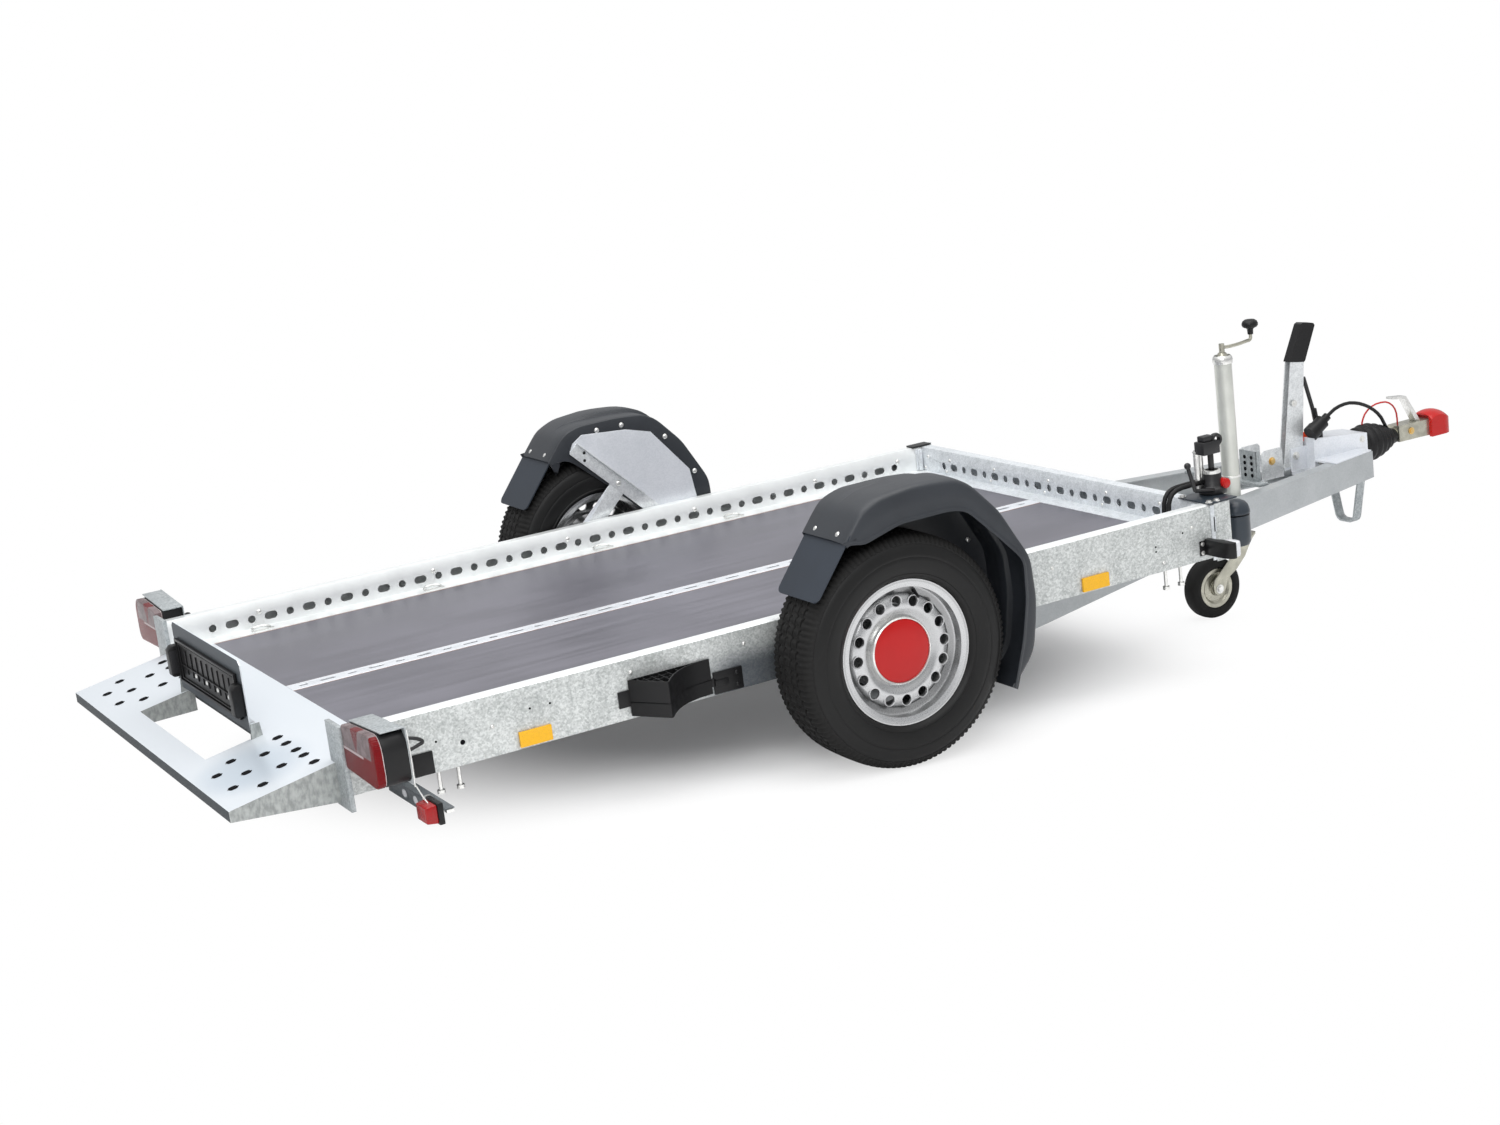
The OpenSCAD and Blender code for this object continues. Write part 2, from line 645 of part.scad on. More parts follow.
module jockey_tube() {
    color(zinc) place() translate([jockey_x, tube_y, 0]) {
        difference() {
            translate([0, 0, neck_z + 24]) cylinder(h = 712 - neck_z - 24, r = tube_r, $fn = 64);
            translate([0, 0, neck_z]) cylinder(h = 690 - neck_z, r = tube_r - 3, $fn = 64);
        }
        translate([0, 0, 712]) cylinder(h = 6, r = tube_r + 1, $fn = 64);
        translate([0, 0, 718]) cylinder(h = 10, r = 11, $fn = 32);
        difference() {
            translate([0, 0, 188]) cylinder(h = 66, r = tube_r + 5, $fn = 64);
            translate([0, 0, 187]) cylinder(h = 68, r = tube_r, $fn = 64);
            translate([0, -tube_y, 0]) mirror([0, 1, 0]) arm_shape();
        }
        difference() {
            span([-26, -80, 196], [26, -20, 248]);
            cylinder(h = 300, r = tube_r, $fn = 64);
            translate([-jockey_x, -tube_y, 0]) mirror([0, 1, 0]) union() {
                arm_shape();
                arm_at() along_y(-arm_t, 100) polygon(arm_outline(0));
            }
        }
    }
}
module crank() {
    color(zinc) place() {
        translate([jockey_x, tube_y, 728]) cylinder(h = 26, r = 8, $fn = 32);
        bar([jockey_x, tube_y, 744], [jockey_x + 108, tube_y, 756], 5);
        translate([jockey_x + 108, tube_y, 756]) sphere(r = 5.5, $fn = 32);
        translate([jockey_x + 108, tube_y, 756]) cylinder(h = 30, r = 4.5, $fn = 32);
        translate([jockey_x + 108, tube_y, 772]) cylinder(h = 18, r = 11, $fn = 32);
        translate([jockey_x + 112, tube_y, 808]) sphere(r = 25, $fn = 48);
    }
}

module jockey_fork() {
    color(zinc) place() translate([0, tube_y, 0]) {
        translate([jockey_x, 0, neck_z]) cylinder(h = 320 - neck_z, r = tube_r - 3.4, $fn = 64);
        difference() {
            union() {
                for (s = [-1, 1]) translate([0, s * (jockey_w / 2 + 8), 0]) along_y(-2, 2)
                    polygon([[jockey_x - 32, neck_z], [jockey_x + 36, neck_z],
                        [jockey_x + 30, neck_z - 62], [hub_x + 24, hub_z - 22],
                        [hub_x - 10, hub_z - 22], [hub_x - 24, hub_z - 4], [hub_x - 20, hub_z + 16]]);
                along_y(-jockey_w / 2 - 8, jockey_w / 2 + 8)
                    polygon([[jockey_x - 32, neck_z], [jockey_x + 36, neck_z],
                        [jockey_x + 34, neck_z - 20], [jockey_x + 29, neck_z - 20],
                        [jockey_x + 31, neck_z - 6], [jockey_x - 32, neck_z - 6]]);
                translate([hub_x, jockey_w / 2 + 16, hub_z]) rotate([90, 0, 0])
                    cylinder(h = jockey_w + 32, r = 8, $fn = 32);
            }
        }
    }
}
module wheel_turn(r) {
    rotate([90, 0, 0]) rotate_extrude($fn = r) children();
}
module jockey_rim() {
    w = jockey_w / 2;
    k = jockey_r / 100;
    color(silver) place() translate([hub_x, tube_y, hub_z]) wheel_turn(64)
        polygon([[8.5, -w + 2], [22, -w + 2], [24, -w + 10], [44 * k, -w + 14], [52 * k, -w + 6],
            [64 * k, -w + 6], [64 * k, -w + 9], [56 * k, -w + 10], [52 * k, 0], [56 * k, w - 10],
            [64 * k, w - 9], [64 * k, w - 6], [52 * k, w - 6], [44 * k, w - 14], [24, w - 10],
            [22, w - 2], [8.5, w - 2]]);
}
module jockey_tyre() {
    w = jockey_w / 2;
    k = jockey_r / 100;
    color(rubber) place() translate([hub_x, tube_y, hub_z]) wheel_turn(64)
        polygon([[52 * k, 0], [56 * k, -w + 10], [64 * k, -w + 9], [66 * k, -w + 4],
            [76 * k, -w], [88 * k, -w + 2], [96 * k, -w + 8], [99 * k, -w + 16], [100 * k, 0],
            [99 * k, w - 16], [96 * k, w - 8], [88 * k, w - 2], [76 * k, w], [66 * k, w - 4],
            [64 * k, w - 9], [56 * k, w - 10]]);
}

module plug() {
    color(red) place() difference() {
        bar([2232, -50, 360], [2256, -50, 374], 27);
        along_y(-60, 60) polygon([[2236, 207], [2475, 232], [2475, 320], [2236, 346]]);
    }
    color(black) place() difference() {
        union() {
            bar([2256, -50, 374], [2290, -50, 394], 24);
            bar([2290, -50, 394], [2312, -50, 407], 14);
            span([2262, -56, 330], [2282, -44, 372]);
        }
        along_y(-60, 60) polygon([[2236, 207], [2475, 232], [2475, 320], [2236, 346]]);
    }
}
module plug_lead() {
    color(black) place() soft_cord(lead_route, 6, 12);
}
module breakaway_cable() {
    color(red) place() soft_cord(cable_route, 3, 8);
}
module support_loop() {
    color(zinc) place() difference() {
        along_x(2408, 2438)
            polygon([[-80, 182], [-46, 30], [-26, 13], [26, 13], [46, 30], [80, 182], [75, 182],
                [41, 33], [24, 18], [-24, 18], [-41, 33], [-75, 182]]);
        both() arm_at() along_y(-arm_w, 0) polygon(arm_outline(0));
    }
}
module arm_bracket() {
    color(zinc) place() {
        difference() {
            span([1880, -240, 266], [1920, 240, 278]);
            both() arm_at() along_y(-arm_w, 0) polygon(arm_outline(0));
        }
        difference() {
            span([1896, -60, 277], [1900, 60, 372]);
            for (y = [-25, 25])
                for (z = [296, 314, 334, 354])
                    translate([1890, y, z]) rotate([0, 90, 0]) cylinder(h = 20, r = 6, $fn = 24);
        }
    }
}

// rim outline: radius, distance out from the mid-plane
rim_line = [[195, 82], [191, 82], [174, 78], [172, 52], [154, 44], [154, -12], [173, -24],
    [174, -78], [191, -82], [195, -82], [195, -78], [178, -74.5], [177, -28], [158, -15],
    [158, 41], [176, 49], [178, 74.5], [195, 78]];
disc_line = [[155, 34], [155, 40], [148, 50], [134, 56], [116, 58], [103, 52], [97, 49], [20, 49],
    [20, 45], [98, 45], [105, 48], [116, 54], [132, 52], [145, 46], [151, 34]];
module rim_shape() {
    k = rim_r / 195;
    difference() {
        union() {
            wheel_turn(96) polygon([for (p = rim_line) [p[0] * k, -p[1]]]);
            difference() {
                wheel_turn(96) polygon([for (p = disc_line) [p[0] * k, -p[1]]]);
                for (i = [0 : rim_holes - 1])
                    rotate([0, i * 360 / rim_holes, 0]) translate([134, 70, 0])
                        rotate([90, 0, 0]) cylinder(h = 60, r = 14, $fn = 24);
            }
            wheel_turn(64) polygon([[17.6, 88], [116, 88], [116, -6], [60, -10], [60, -46],
                [17.6, -46]]);
        }
    }
}
tyre_line = [[178.2, 74], [196, 77], [199, 86], [214, 95], [230, 99.5], [246, 100.5],
    [262, 99.5], [278, 95.5], [293, 88.5], [304, 82], [310, 76], [312.5, 66], [314, 40], [314.5, 0]];
cavity_line = [[301, 0], [300, 50], [292, 70], [275, 84], [246, 89], [215, 82], [192, 66],
    [178.2, 60]];
function flip(line) = [for (p = line) [p[0], -p[1]]];
module tyre_shape() {
    k = tyre_r / 314.5;
    w = tyre_w / 201;
    wheel_turn(72) polygon([for (p = concat(flip(tyre_line), back(tyre_line), back(cavity_line),
        flip(cavity_line))) [p[0] > 200 ? p[0] * k : p[0], p[0] > 200 ? p[1] * w : p[1]]]);
}
module cap_shape() {
    wheel_turn(64) polygon([[0, -49], [88, -49], [91, -53], [89, -57], [80, -60], [50, -62],
        [0, -63]]);
}
module wheel_at() { place() translate([0, wheel_y, tyre_r]) children(); }
module wheel_right_at() { place() mirror([0, 1, 0]) translate([0, wheel_y, tyre_r]) children(); }
module rim_left() { color(silver) wheel_at() rim_shape(); }
module tyre_left() { color(rubber) wheel_at() tyre_shape(); }
module cap_left() { color(red) wheel_at() cap_shape(); }
module rim_right() { color(silver) wheel_right_at() rim_shape(); }
module tyre_right() { color(rubber) wheel_right_at() tyre_shape(); }
module cap_right() { color(red) wheel_right_at() cap_shape(); }

rail_right();
rail_left();
front_board();
centre_rail();
deck_panel_right();
deck_panel_left();
cross_members();
pivot_shaft();
ramp();
corner_posts();
lamp_housings();
lamp_lenses();
rear_markers();
front_markers();
marker_lenses();
reflectors();
chocks();
lashing_pegs();
pump_plate();
pump();
tank();
hoses();
plate_flap();
plate_holder();
plate_lamps();
drawbar_right();
drawbar_left();
axle();
stub_arms();
mudguard_right();
mudguard_left();
mud_flaps();
guard_supports();
overrun_housing();
bellows();
coupling_head();
coupling_cap();
coupling_handle();
handbrake_lever();
handbrake_grip();
brake_strut();
jockey_tube();
crank();
plug();
plug_lead();
breakaway_cable();
support_loop();
arm_bracket();
rim_right();
tyre_right();
cap_right();
rim_left();
tyre_left();
cap_left();
jockey_fork();
jockey_rim();
jockey_tyre();
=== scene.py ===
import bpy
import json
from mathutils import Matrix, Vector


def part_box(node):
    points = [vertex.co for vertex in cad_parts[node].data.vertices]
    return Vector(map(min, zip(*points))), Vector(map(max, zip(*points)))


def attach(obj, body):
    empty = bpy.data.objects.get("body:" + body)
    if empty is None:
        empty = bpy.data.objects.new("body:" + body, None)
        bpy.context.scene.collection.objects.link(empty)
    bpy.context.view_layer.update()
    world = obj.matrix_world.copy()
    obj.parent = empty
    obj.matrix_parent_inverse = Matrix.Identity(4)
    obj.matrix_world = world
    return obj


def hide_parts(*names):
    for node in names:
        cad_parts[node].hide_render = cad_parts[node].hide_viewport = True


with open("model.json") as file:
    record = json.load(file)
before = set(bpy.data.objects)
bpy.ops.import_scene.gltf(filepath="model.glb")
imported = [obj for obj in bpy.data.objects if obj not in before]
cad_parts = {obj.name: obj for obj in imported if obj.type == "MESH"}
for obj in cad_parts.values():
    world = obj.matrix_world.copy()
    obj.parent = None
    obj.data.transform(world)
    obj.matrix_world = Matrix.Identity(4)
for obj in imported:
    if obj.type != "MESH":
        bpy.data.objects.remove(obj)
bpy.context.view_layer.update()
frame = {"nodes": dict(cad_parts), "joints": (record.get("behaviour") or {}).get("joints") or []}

"""Looks of the drop-deck trailer: finishes, rounded sheet edges, tyres, guards and fittings."""

import json
import logging
import math
from dataclasses import dataclass, field
from enum import Enum
from typing import Any, Callable, Iterable, Sequence

import bmesh
import bpy
from mathutils import Matrix, Vector

LOG = logging.getLogger("trailer")
MM = 0.001
Point = Sequence[float]
Colour = tuple[float, float, float]


class Side(Enum):
    """A side of the trailer, as the sign of y."""

    RIGHT = -1
    LEFT = 1


@dataclass(frozen=True)
class Stance:
    """How the trailer's own axes stand in the frame: nose up about the main axle.

    All pieces are made in the trailer's axes, in millimetres: x forward from the main axle,
    y to the left and z up from the tyres' foot.
    """

    nose_up: float
    axle_x: float
    wheel_r: float

    def matrix(self) -> Matrix:
        """Returns the matrix from the trailer's axes, in metres, to the frame."""
        lift = Matrix.Translation((self.axle_x, 0, self.wheel_r))
        drop = Matrix.Translation((0, 0, -self.wheel_r))
        return lift @ Matrix.Rotation(-self.nose_up, 4, "Y") @ drop

    def place(self) -> Matrix:
        """Returns the matrix from the trailer's axes, in millimetres, to the frame."""
        return self.matrix() @ Matrix.Scale(MM, 4)


def read_stance() -> Stance:
    """Works the stance out from the frame: the jockey tube's lean and the road wheel's box.

    Returns:
        The trailer's stance.
    """
    axis = next(j["axis"] for j in frame["joints"] if j["name"] == "jockey_turn")
    low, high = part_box("tyre_right")
    return Stance(math.atan2(-axis[0], axis[2]), (low.x + high.x) / 2, (low.z + high.z) / 2)


STANCE = read_stance()
WHEEL_R = STANCE.wheel_r / MM


class Wire:
    """One shader socket, with Python's operators as Math nodes."""

    def __init__(self, paint: "Paint", socket: bpy.types.NodeSocket) -> None:
        """Wraps a socket of the given paint's node tree."""
        self.paint = paint
        self.socket = socket

    def _math(self, kind: str, first: Any, second: Any = None) -> "Wire":
        """Adds one Math node and returns its value."""
        inputs = {0: first} if second is None else {0: first, 1: second}
        return self.paint.node("ShaderNodeMath", {"operation": kind}, inputs)

    def __add__(self, other: Any) -> "Wire":
        """Returns self + other."""
        return self._math("ADD", self, other)

    def __radd__(self, other: Any) -> "Wire":
        """Returns other + self."""
        return self._math("ADD", other, self)

    def __sub__(self, other: Any) -> "Wire":
        """Returns self - other."""
        return self._math("SUBTRACT", self, other)

    def __rsub__(self, other: Any) -> "Wire":
        """Returns other - self."""
        return self._math("SUBTRACT", other, self)

    def __mul__(self, other: Any) -> "Wire":
        """Returns self * other."""
        return self._math("MULTIPLY", self, other)

    def __rmul__(self, other: Any) -> "Wire":
        """Returns other * self."""
        return self._math("MULTIPLY", other, self)

    def __truediv__(self, other: Any) -> "Wire":
        """Returns self / other."""
        return self._math("DIVIDE", self, other)

    def __rtruediv__(self, other: Any) -> "Wire":
        """Returns other / self."""
        return self._math("DIVIDE", other, self)

    def __abs__(self) -> "Wire":
        """Returns the absolute value."""
        return self._math("ABSOLUTE", self)

    def __gt__(self, other: Any) -> "Wire":
        """Returns 1 where self is greater than other, else 0."""
        return self._math("GREATER_THAN", self, other)

    def __lt__(self, other: Any) -> "Wire":
        """Returns 1 where self is less than other, else 0."""
        return self._math("LESS_THAN", self, other)

    def smallest(self, other: Any) -> "Wire":
        """Returns the lesser of self and other."""
        return self._math("MINIMUM", self, other)

    def largest(self, other: Any) -> "Wire":
        """Returns the greater of self and other."""
        return self._math("MAXIMUM", self, other)

    def ramp(self, low: float, high: float) -> "Wire":
        """Returns a smooth step from 0 at low to 1 at high."""
        return self.paint.node(
            "ShaderNodeMapRange", {"interpolation_type": "SMOOTHSTEP"},
            {"Value": self, "From Min": low, "From Max": high})


class Paint:
    """A material under construction: its node tree and the nodes that all finishes share."""

    def __init__(self, name: str) -> None:
        """Starts an empty material with a Principled BSDF."""
        self.material = bpy.data.materials.new(name)
        self.material.use_nodes = True
        self.tree = self.material.node_tree
        self.tree.nodes.clear()
        self.out = self.tree.nodes.new("ShaderNodeOutputMaterial")
        self.shader = self.tree.nodes.new("ShaderNodeBsdfPrincipled")
        self.tree.links.new(self.shader.outputs[0], self.out.inputs["Surface"])
        self._object: Wire | None = None

    def plug(self, node: bpy.types.Node, key: str | int, value: Any) -> None:
        """Sets or links one socket of a node.

        Args:
            node: The node.
            key: The socket's name or index.
            value: A Wire to link, a colour of three numbers, or a plain value.
        """
        if isinstance(key, int):
            socket = node.inputs[key]
        else:
            socket = next(s for s in node.inputs if s.name == key and s.enabled)
        if isinstance(value, Wire):
            self.tree.links.new(value.socket, socket)
        elif isinstance(value, tuple) and len(value) == 3 and socket.type == "RGBA":
            socket.default_value = (*value, 1.0)
        else:
            socket.default_value = value

    def node(self, kind: str, settings: dict[str, Any] | None = None,
             inputs: dict[str | int, Any] | None = None, output: str | int = 0) -> Wire:
        """Adds any node.

        Args:
            kind: The node's type.
            settings: Its properties, set first; "stops" gives a ramp's positions and colours.
            inputs: Values or wires of its sockets.
            output: The name or index of the output to return.

        Returns:
            The chosen output.
        """
        made = self.tree.nodes.new(kind)
        for name, value in (settings or {}).items():
            if name == "stops":
                elements = made.color_ramp.elements
                while len(elements) < len(value):
                    elements.new(0.5)
                for element, (position, colour) in zip(elements, value):
                    element.position = position
                    element.color = (*colour, 1.0)
            else:
                setattr(made, name, value)
        for key, value in (inputs or {}).items():
            self.plug(made, key, value)
        return Wire(self, made.outputs[output])

    def place(self) -> Wire:
        """Returns the Object coordinates, in metres in the frame."""
        if self._object is None:
            self._object = self.node("ShaderNodeTexCoord", output="Object")
        return self._object

    def upright(self) -> Wire:
        """Returns coordinates in the trailer's own axes, in metres."""
        back = STANCE.matrix().inverted()
        return self.node("ShaderNodeMapping", inputs={
            "Vector": self.place(), "Location": tuple(back.to_translation()),
            "Rotation": tuple(back.to_euler())})

    def axis(self, vector: Wire, name: str) -> Wire:
        """Returns the X, Y or Z part of a vector."""
        return self.node("ShaderNodeSeparateXYZ", inputs={0: vector}, output=name)

    def noise(self, scale: float, detail: float = 4, stretch: Point = (1, 1, 1),
              seed: float = 0, rough: float = 0.55) -> Wire:
        """Returns noise of the given scale, 0 to 1, stretched along the axes."""
        moved = self.node("ShaderNodeMapping", inputs={
            "Vector": self.place(), "Location": (seed, seed * 0.7, seed * 1.3),
            "Scale": tuple(stretch)})
        return self.node("ShaderNodeTexNoise", inputs={
            "Vector": moved, "Scale": scale, "Detail": detail, "Roughness": rough})

    def cells(self, scale: float, output: str = "Color") -> Wire:
        """Returns the crystal cells of a zinc surface."""
        return self.node("ShaderNodeTexVoronoi", {"feature": "F1"},
                         {"Vector": self.place(), "Scale": scale}, output)

    def blend(self, factor: Wire | float, first: Any, second: Any) -> Wire:
        """Returns a mix of two colours."""
        return self.node("ShaderNodeMix", {"data_type": "RGBA"},
                         {"Factor": factor, "A": first, "B": second}, 2)

    def bump(self, height: Wire, depth: float, strength: float = 1.0) -> None:
        """Lets a height, 0 to 1, times a depth in metres, shape the surface's normal."""
        normal = self.node("ShaderNodeBump", inputs={
            "Height": height, "Distance": depth, "Strength": strength})
        self.plug(self.shader, "Normal", normal)

    def set(self, **values: Any) -> "Paint":
        """Sets sockets of the shader; underscores in names stand for spaces."""
        for key, value in values.items():
            self.plug(self.shader, key.replace("_", " ").replace("Ior", "IOR"), value)
        return self


@dataclass(frozen=True)
class Galvanised:
    """Hot-dip galvanised steel: faint clouds and crystals, and a lighter side painted as a
    reflection of the bright sky.

    The lighter side is all that lies nearer the middle than inner_y, the load space's side.
    """

    name: str
    dark: Colour
    light: Colour
    contrast: float = 0.3
    metal: float = 0.45
    rough: float = 0.4
    cloud: float = 110
    inner_y: float = 0.0
    # Colour of the painted sky reflection on the load space's side.
    bright: Colour = (0.86, 0.88, 0.88)
    painted_wheel_shade: float = 0.0

    def material(self) -> bpy.types.Material:
        """Returns the finished material."""
        p = Paint(self.name)
        cloud = p.noise(self.cloud, 5, rough=0.6)
        wide = p.noise(9, 3, seed=4)
        runs = p.noise(22, 3, (1, 1, 0.15), seed=9)
        crystal = p.node("ShaderNodeSeparateColor", inputs={0: p.cells(240)})
        mixed = cloud * 0.42 + wide * 0.26 + runs * 0.14 + crystal * 0.18
        shade = mixed.ramp(0.5 - self.contrast, 0.5 + self.contrast)
        zinc = p.blend(shade, self.dark, self.light)
        rough = self.rough + (1 - shade) * 0.14
        # Painted wheel shade: the rail's lower part beside the wheel is darkened towards
        # blue-black, standing for the wheel's shadow and its dark reflection.
        if self.painted_wheel_shade:
            spot = p.upright()
            along, height = p.axis(spot, "X"), p.axis(spot, "Z")
            near = along.ramp(-0.56, -0.4) * (1 - along.ramp(0.3, 0.45))
            zinc = p.blend(near * (1 - height.ramp(0.33, 0.41)) * self.painted_wheel_shade, zinc,
                           (0.035, 0.045, 0.06))
        # Painted sky reflection: all that lies inward of inner_y, the load space's side, is
        # lightened towards a pale zinc colour; its roughness is lowered too.
        if self.inner_y:
            new = 1 - abs(p.axis(p.upright(), "Y")).ramp(self.inner_y - 0.0006, self.inner_y)
            soft = tuple(c * 0.9 for c in self.bright)
            zinc = p.blend(new, zinc, p.blend(wide.ramp(0.3, 0.7), soft, self.bright))
            rough = rough - new * 0.1
        p.set(Base_Color=zinc, Metallic=self.metal, Roughness=rough)
        p.bump(cloud * 0.6 + crystal * 0.4, 0.00025, 0.3)
        return p.material


@dataclass(frozen=True)
class SmoothMetal:
    """Plain rolled, plated or painted metal with a faint grain."""

    name: str
    colour: Colour
    metal: float = 0.7
    rough: float = 0.3
    vary: float = 0.12
    scale: float = 7
    stretch: tuple[float, float, float] = (1, 1, 1)

    def material(self) -> bpy.types.Material:
        """Returns the finished material."""
        p = Paint(self.name)
        wide = p.noise(self.scale, 4, self.stretch)
        grain = p.noise(420, 2, self.stretch, seed=3)
        dark = tuple(c * (1 - self.vary) for c in self.colour)
        light = tuple(min(1, c * (1 + self.vary)) for c in self.colour)
        shade = wide.ramp(0.3, 0.7)
        p.set(Base_Color=p.blend(shade, dark, light), Metallic=self.metal,
              Roughness=self.rough + grain * 0.1 + (1 - shade) * 0.05)
        p.bump(grain, 0.00006, 0.5)
        return p.material


@dataclass(frozen=True)
class WheelSilver:
    """Silver lacquer of the road rims, with painted shade in the well between the rim and its disc,
    round the hub and along a thin ring at the rim's edge.
    """

    name: str
    colour: Colour = (0.52, 0.525, 0.53)
    well: tuple[float, float] = (0.149, 0.174)
    rim: float = 0.19

    def material(self) -> bpy.types.Material:
        """Returns the finished material."""
        p = Paint(self.name)
        centre = p.node("ShaderNodeMapping", inputs={
            "Vector": p.place(), "Location": (-STANCE.axle_x, 0, -STANCE.wheel_r),
            "Scale": (1, 0, 1)})
        radius = p.node("ShaderNodeVectorMath", {"operation": "LENGTH"}, {0: centre}, "Value")
        wide, grain = p.noise(5, 3), p.noise(420, 2, seed=3)
        low, high = self.well
        band = radius.ramp(low - 0.006, low + 0.006) * (1 - radius.ramp(high - 0.008, high))
        hub = 1 - radius.ramp(0.108, 0.122)
        edge = 1 - abs(radius - self.rim).ramp(0.0, 0.004)
        # Painted shade: the well, the hub and the thin ring are darkened towards a third of the
        # silver.
        shade = (band * 0.62).largest(hub * 0.18).largest(edge * 0.35)
        dark = tuple(c * 0.3 for c in self.colour)
        p.set(Base_Color=p.blend(shade + wide * 0.06, self.colour, dark), Metallic=0.85,
              Roughness=0.24 + grain * 0.08)
        p.bump(grain, 0.00006, 0.5)
        return p.material


@dataclass(frozen=True)
class Plastic:
    """Moulded plastic or rubber with a fine grain and slight fading."""

    name: str
    colour: Colour
    rough: float = 0.45
    grain: float = 900
    depth: float = 0.00012
    faded: float = 0.2
    coat: float = 0.0
    gloss: float = 0.28

    def material(self) -> bpy.types.Material:
        """Returns the finished material."""
        p = Paint(self.name)
        grain = p.noise(self.grain, 2)
        wide = p.noise(6, 4, seed=2)
        light = tuple(min(1, c * (1 + self.faded) + 0.001) for c in self.colour)
        p.set(Base_Color=p.blend(wide.ramp(0.35, 0.7), self.colour, light),
              Roughness=self.rough + (wide - 0.5) * 0.16, Coat_Weight=self.coat,
              Specular_IOR_Level=self.gloss, Coat_Roughness=0.08)
        p.bump(grain, self.depth, 0.6)
        return p.material


@dataclass(frozen=True)
class FilmPly:
    """Plywood under a dark phenolic film, with its brown edges sealed."""

    name: str
    film: Colour = (0.088, 0.086, 0.104)
    scuffed: Colour = (0.14, 0.137, 0.162)
    edge: Colour = (0.22, 0.1, 0.062)
    inner: float = 0.030
    outer: float = 0.675
    band: float = 0.0035

    def material(self) -> bpy.types.Material:
        """Returns the finished material."""
        p = Paint(self.name)
        spot = p.upright()
        across = abs(p.axis(spot, "Y"))
        rim = (across < self.inner + self.band).largest(across > self.outer - self.band)
        up = abs(p.axis(p.node("ShaderNodeTexCoord", output="Normal"), "Z"))
        side = 1 - up.ramp(0.5, 0.8)
        mask = rim.largest(side)
        streak = p.noise(9, 5, (0.25, 5, 1))
        wide = p.noise(2.2, 4, seed=6)
        mesh = p.noise(300, 2, (1, 1, 1), seed=1)
        worn = (streak * 0.5 + wide * 0.5).ramp(0.36, 0.66)
        film = p.blend(worn, self.film, self.scuffed)
        core = p.blend(p.noise(60, 3, (1, 1, 6)), self.edge, (0.3, 0.17, 0.11))
        p.set(Base_Color=p.blend(mask, film, core), Metallic=0.0,
              Roughness=0.36 + worn * 0.12 + mask * 0.3)
        p.bump(mesh * 0.7 + streak * 0.3, 0.0002, 0.5)
        return p.material


@dataclass(frozen=True)
class TyreRubber:
    """Tyre rubber: dusty tread, darker satin wall with faint turned rings."""

    name: str
    wall: Colour = (0.0055, 0.0055, 0.0055)
    tread: Colour = (0.009, 0.0088, 0.0085)
    tread_from: float = 0.296

    def material(self) -> bpy.types.Material:
        """Returns the finished material."""
        p = Paint(self.name)
        centre = p.node("ShaderNodeMapping", inputs={
            "Vector": p.place(), "Location": (-STANCE.axle_x, 0, -STANCE.wheel_r),
            "Scale": (1, 0, 1)})
        radius = p.node("ShaderNodeVectorMath", {"operation": "LENGTH"}, {0: centre}, "Value")
        dusty = p.noise(16, 5, seed=5)
        fine = p.noise(500, 2, seed=8)
        tread = radius.ramp(self.tread_from - 0.012, self.tread_from + 0.004)
        base = p.blend(tread, self.wall, self.tread)
        faded = tuple(c * 1.7 for c in self.wall)
        ring = p.node("ShaderNodeMath", {"operation": "SINE"}, {0: radius * 2600})
        p.set(Base_Color=p.blend(dusty.ramp(0.5, 0.8) * 0.6, base, faded),
              Roughness=0.4 + tread * 0.3 + dusty * 0.12, Specular_IOR_Level=0.26)
        p.bump(fine * 0.6 + ring * (1 - tread) * 0.16, 0.0003, 0.6)
        return p.material


@dataclass(frozen=True)
class LampLens:
    """Ribbed lamp lens: red below, clear above with a red wedge, split by a pale line."""

    name: str
    red: Colour = (0.15, 0.002, 0.004)
    clear: Colour = (0.24, 0.2, 0.205)
    line: Colour = (0.5, 0.44, 0.44)
    split_z: float = 0.405
    back_x: float = -1.4535

    def material(self) -> bpy.types.Material:
        """Returns the finished material."""
        p = Paint(self.name)
        spot = p.upright()
        along, height = p.axis(spot, "X"), p.axis(spot, "Z")
        across = abs(p.axis(spot, "Y"))
        bars = p.node("ShaderNodeMath", {"operation": "SINE"}, {0: across * 1500})
        rows = p.node("ShaderNodeMath", {"operation": "SINE"}, {0: height * 1500})
        upper = (height > self.split_z + 0.004) * (across < 0.985)
        wedge = (abs(across - 0.885) < (height - self.split_z) * 0.42)
        cloud = p.noise(30, 4)
        clear = p.blend(cloud.ramp(0.35, 0.65), self.clear, tuple(c * 0.6 for c in self.clear))
        window = p.blend(upper * (1 - wedge * 0.85), self.red, clear)
        line = (abs(height - self.split_z) < 0.0032) * (across < 0.93)
        rim = along > self.back_x
        shown = p.blend(line.largest(rim), window, self.line)
        dark = p.blend((bars.ramp(-1, 1) * 0.3), shown, (0.1, 0.003, 0.005))
        p.set(Base_Color=dark, Roughness=0.24 + rows * 0.03, Coat_Weight=0.05,
              Coat_Roughness=0.03, Specular_IOR_Level=0.12)
        p.bump(bars * 0.5 + rows * 0.5, 0.0009, 0.6)
        return p.material


@dataclass(frozen=True)
class Reflector:
    """Glossy reflector plastic over small prisms."""

    name: str
    colour: Colour
    pitch: float = 900
    coat: float = 0.15

    def material(self) -> bpy.types.Material:
        """Returns the finished material."""
        p = Paint(self.name)
        prisms = p.cells(self.pitch, "Distance")
        dark = tuple(c * 0.72 for c in self.colour)
        p.set(Base_Color=p.blend(prisms.ramp(0.1, 0.9), self.colour, dark), Roughness=0.2,
              Coat_Weight=self.coat, Coat_Roughness=0.05, Specular_IOR_Level=0.35)
        p.bump(prisms, 0.0004, 0.5)
        return p.material


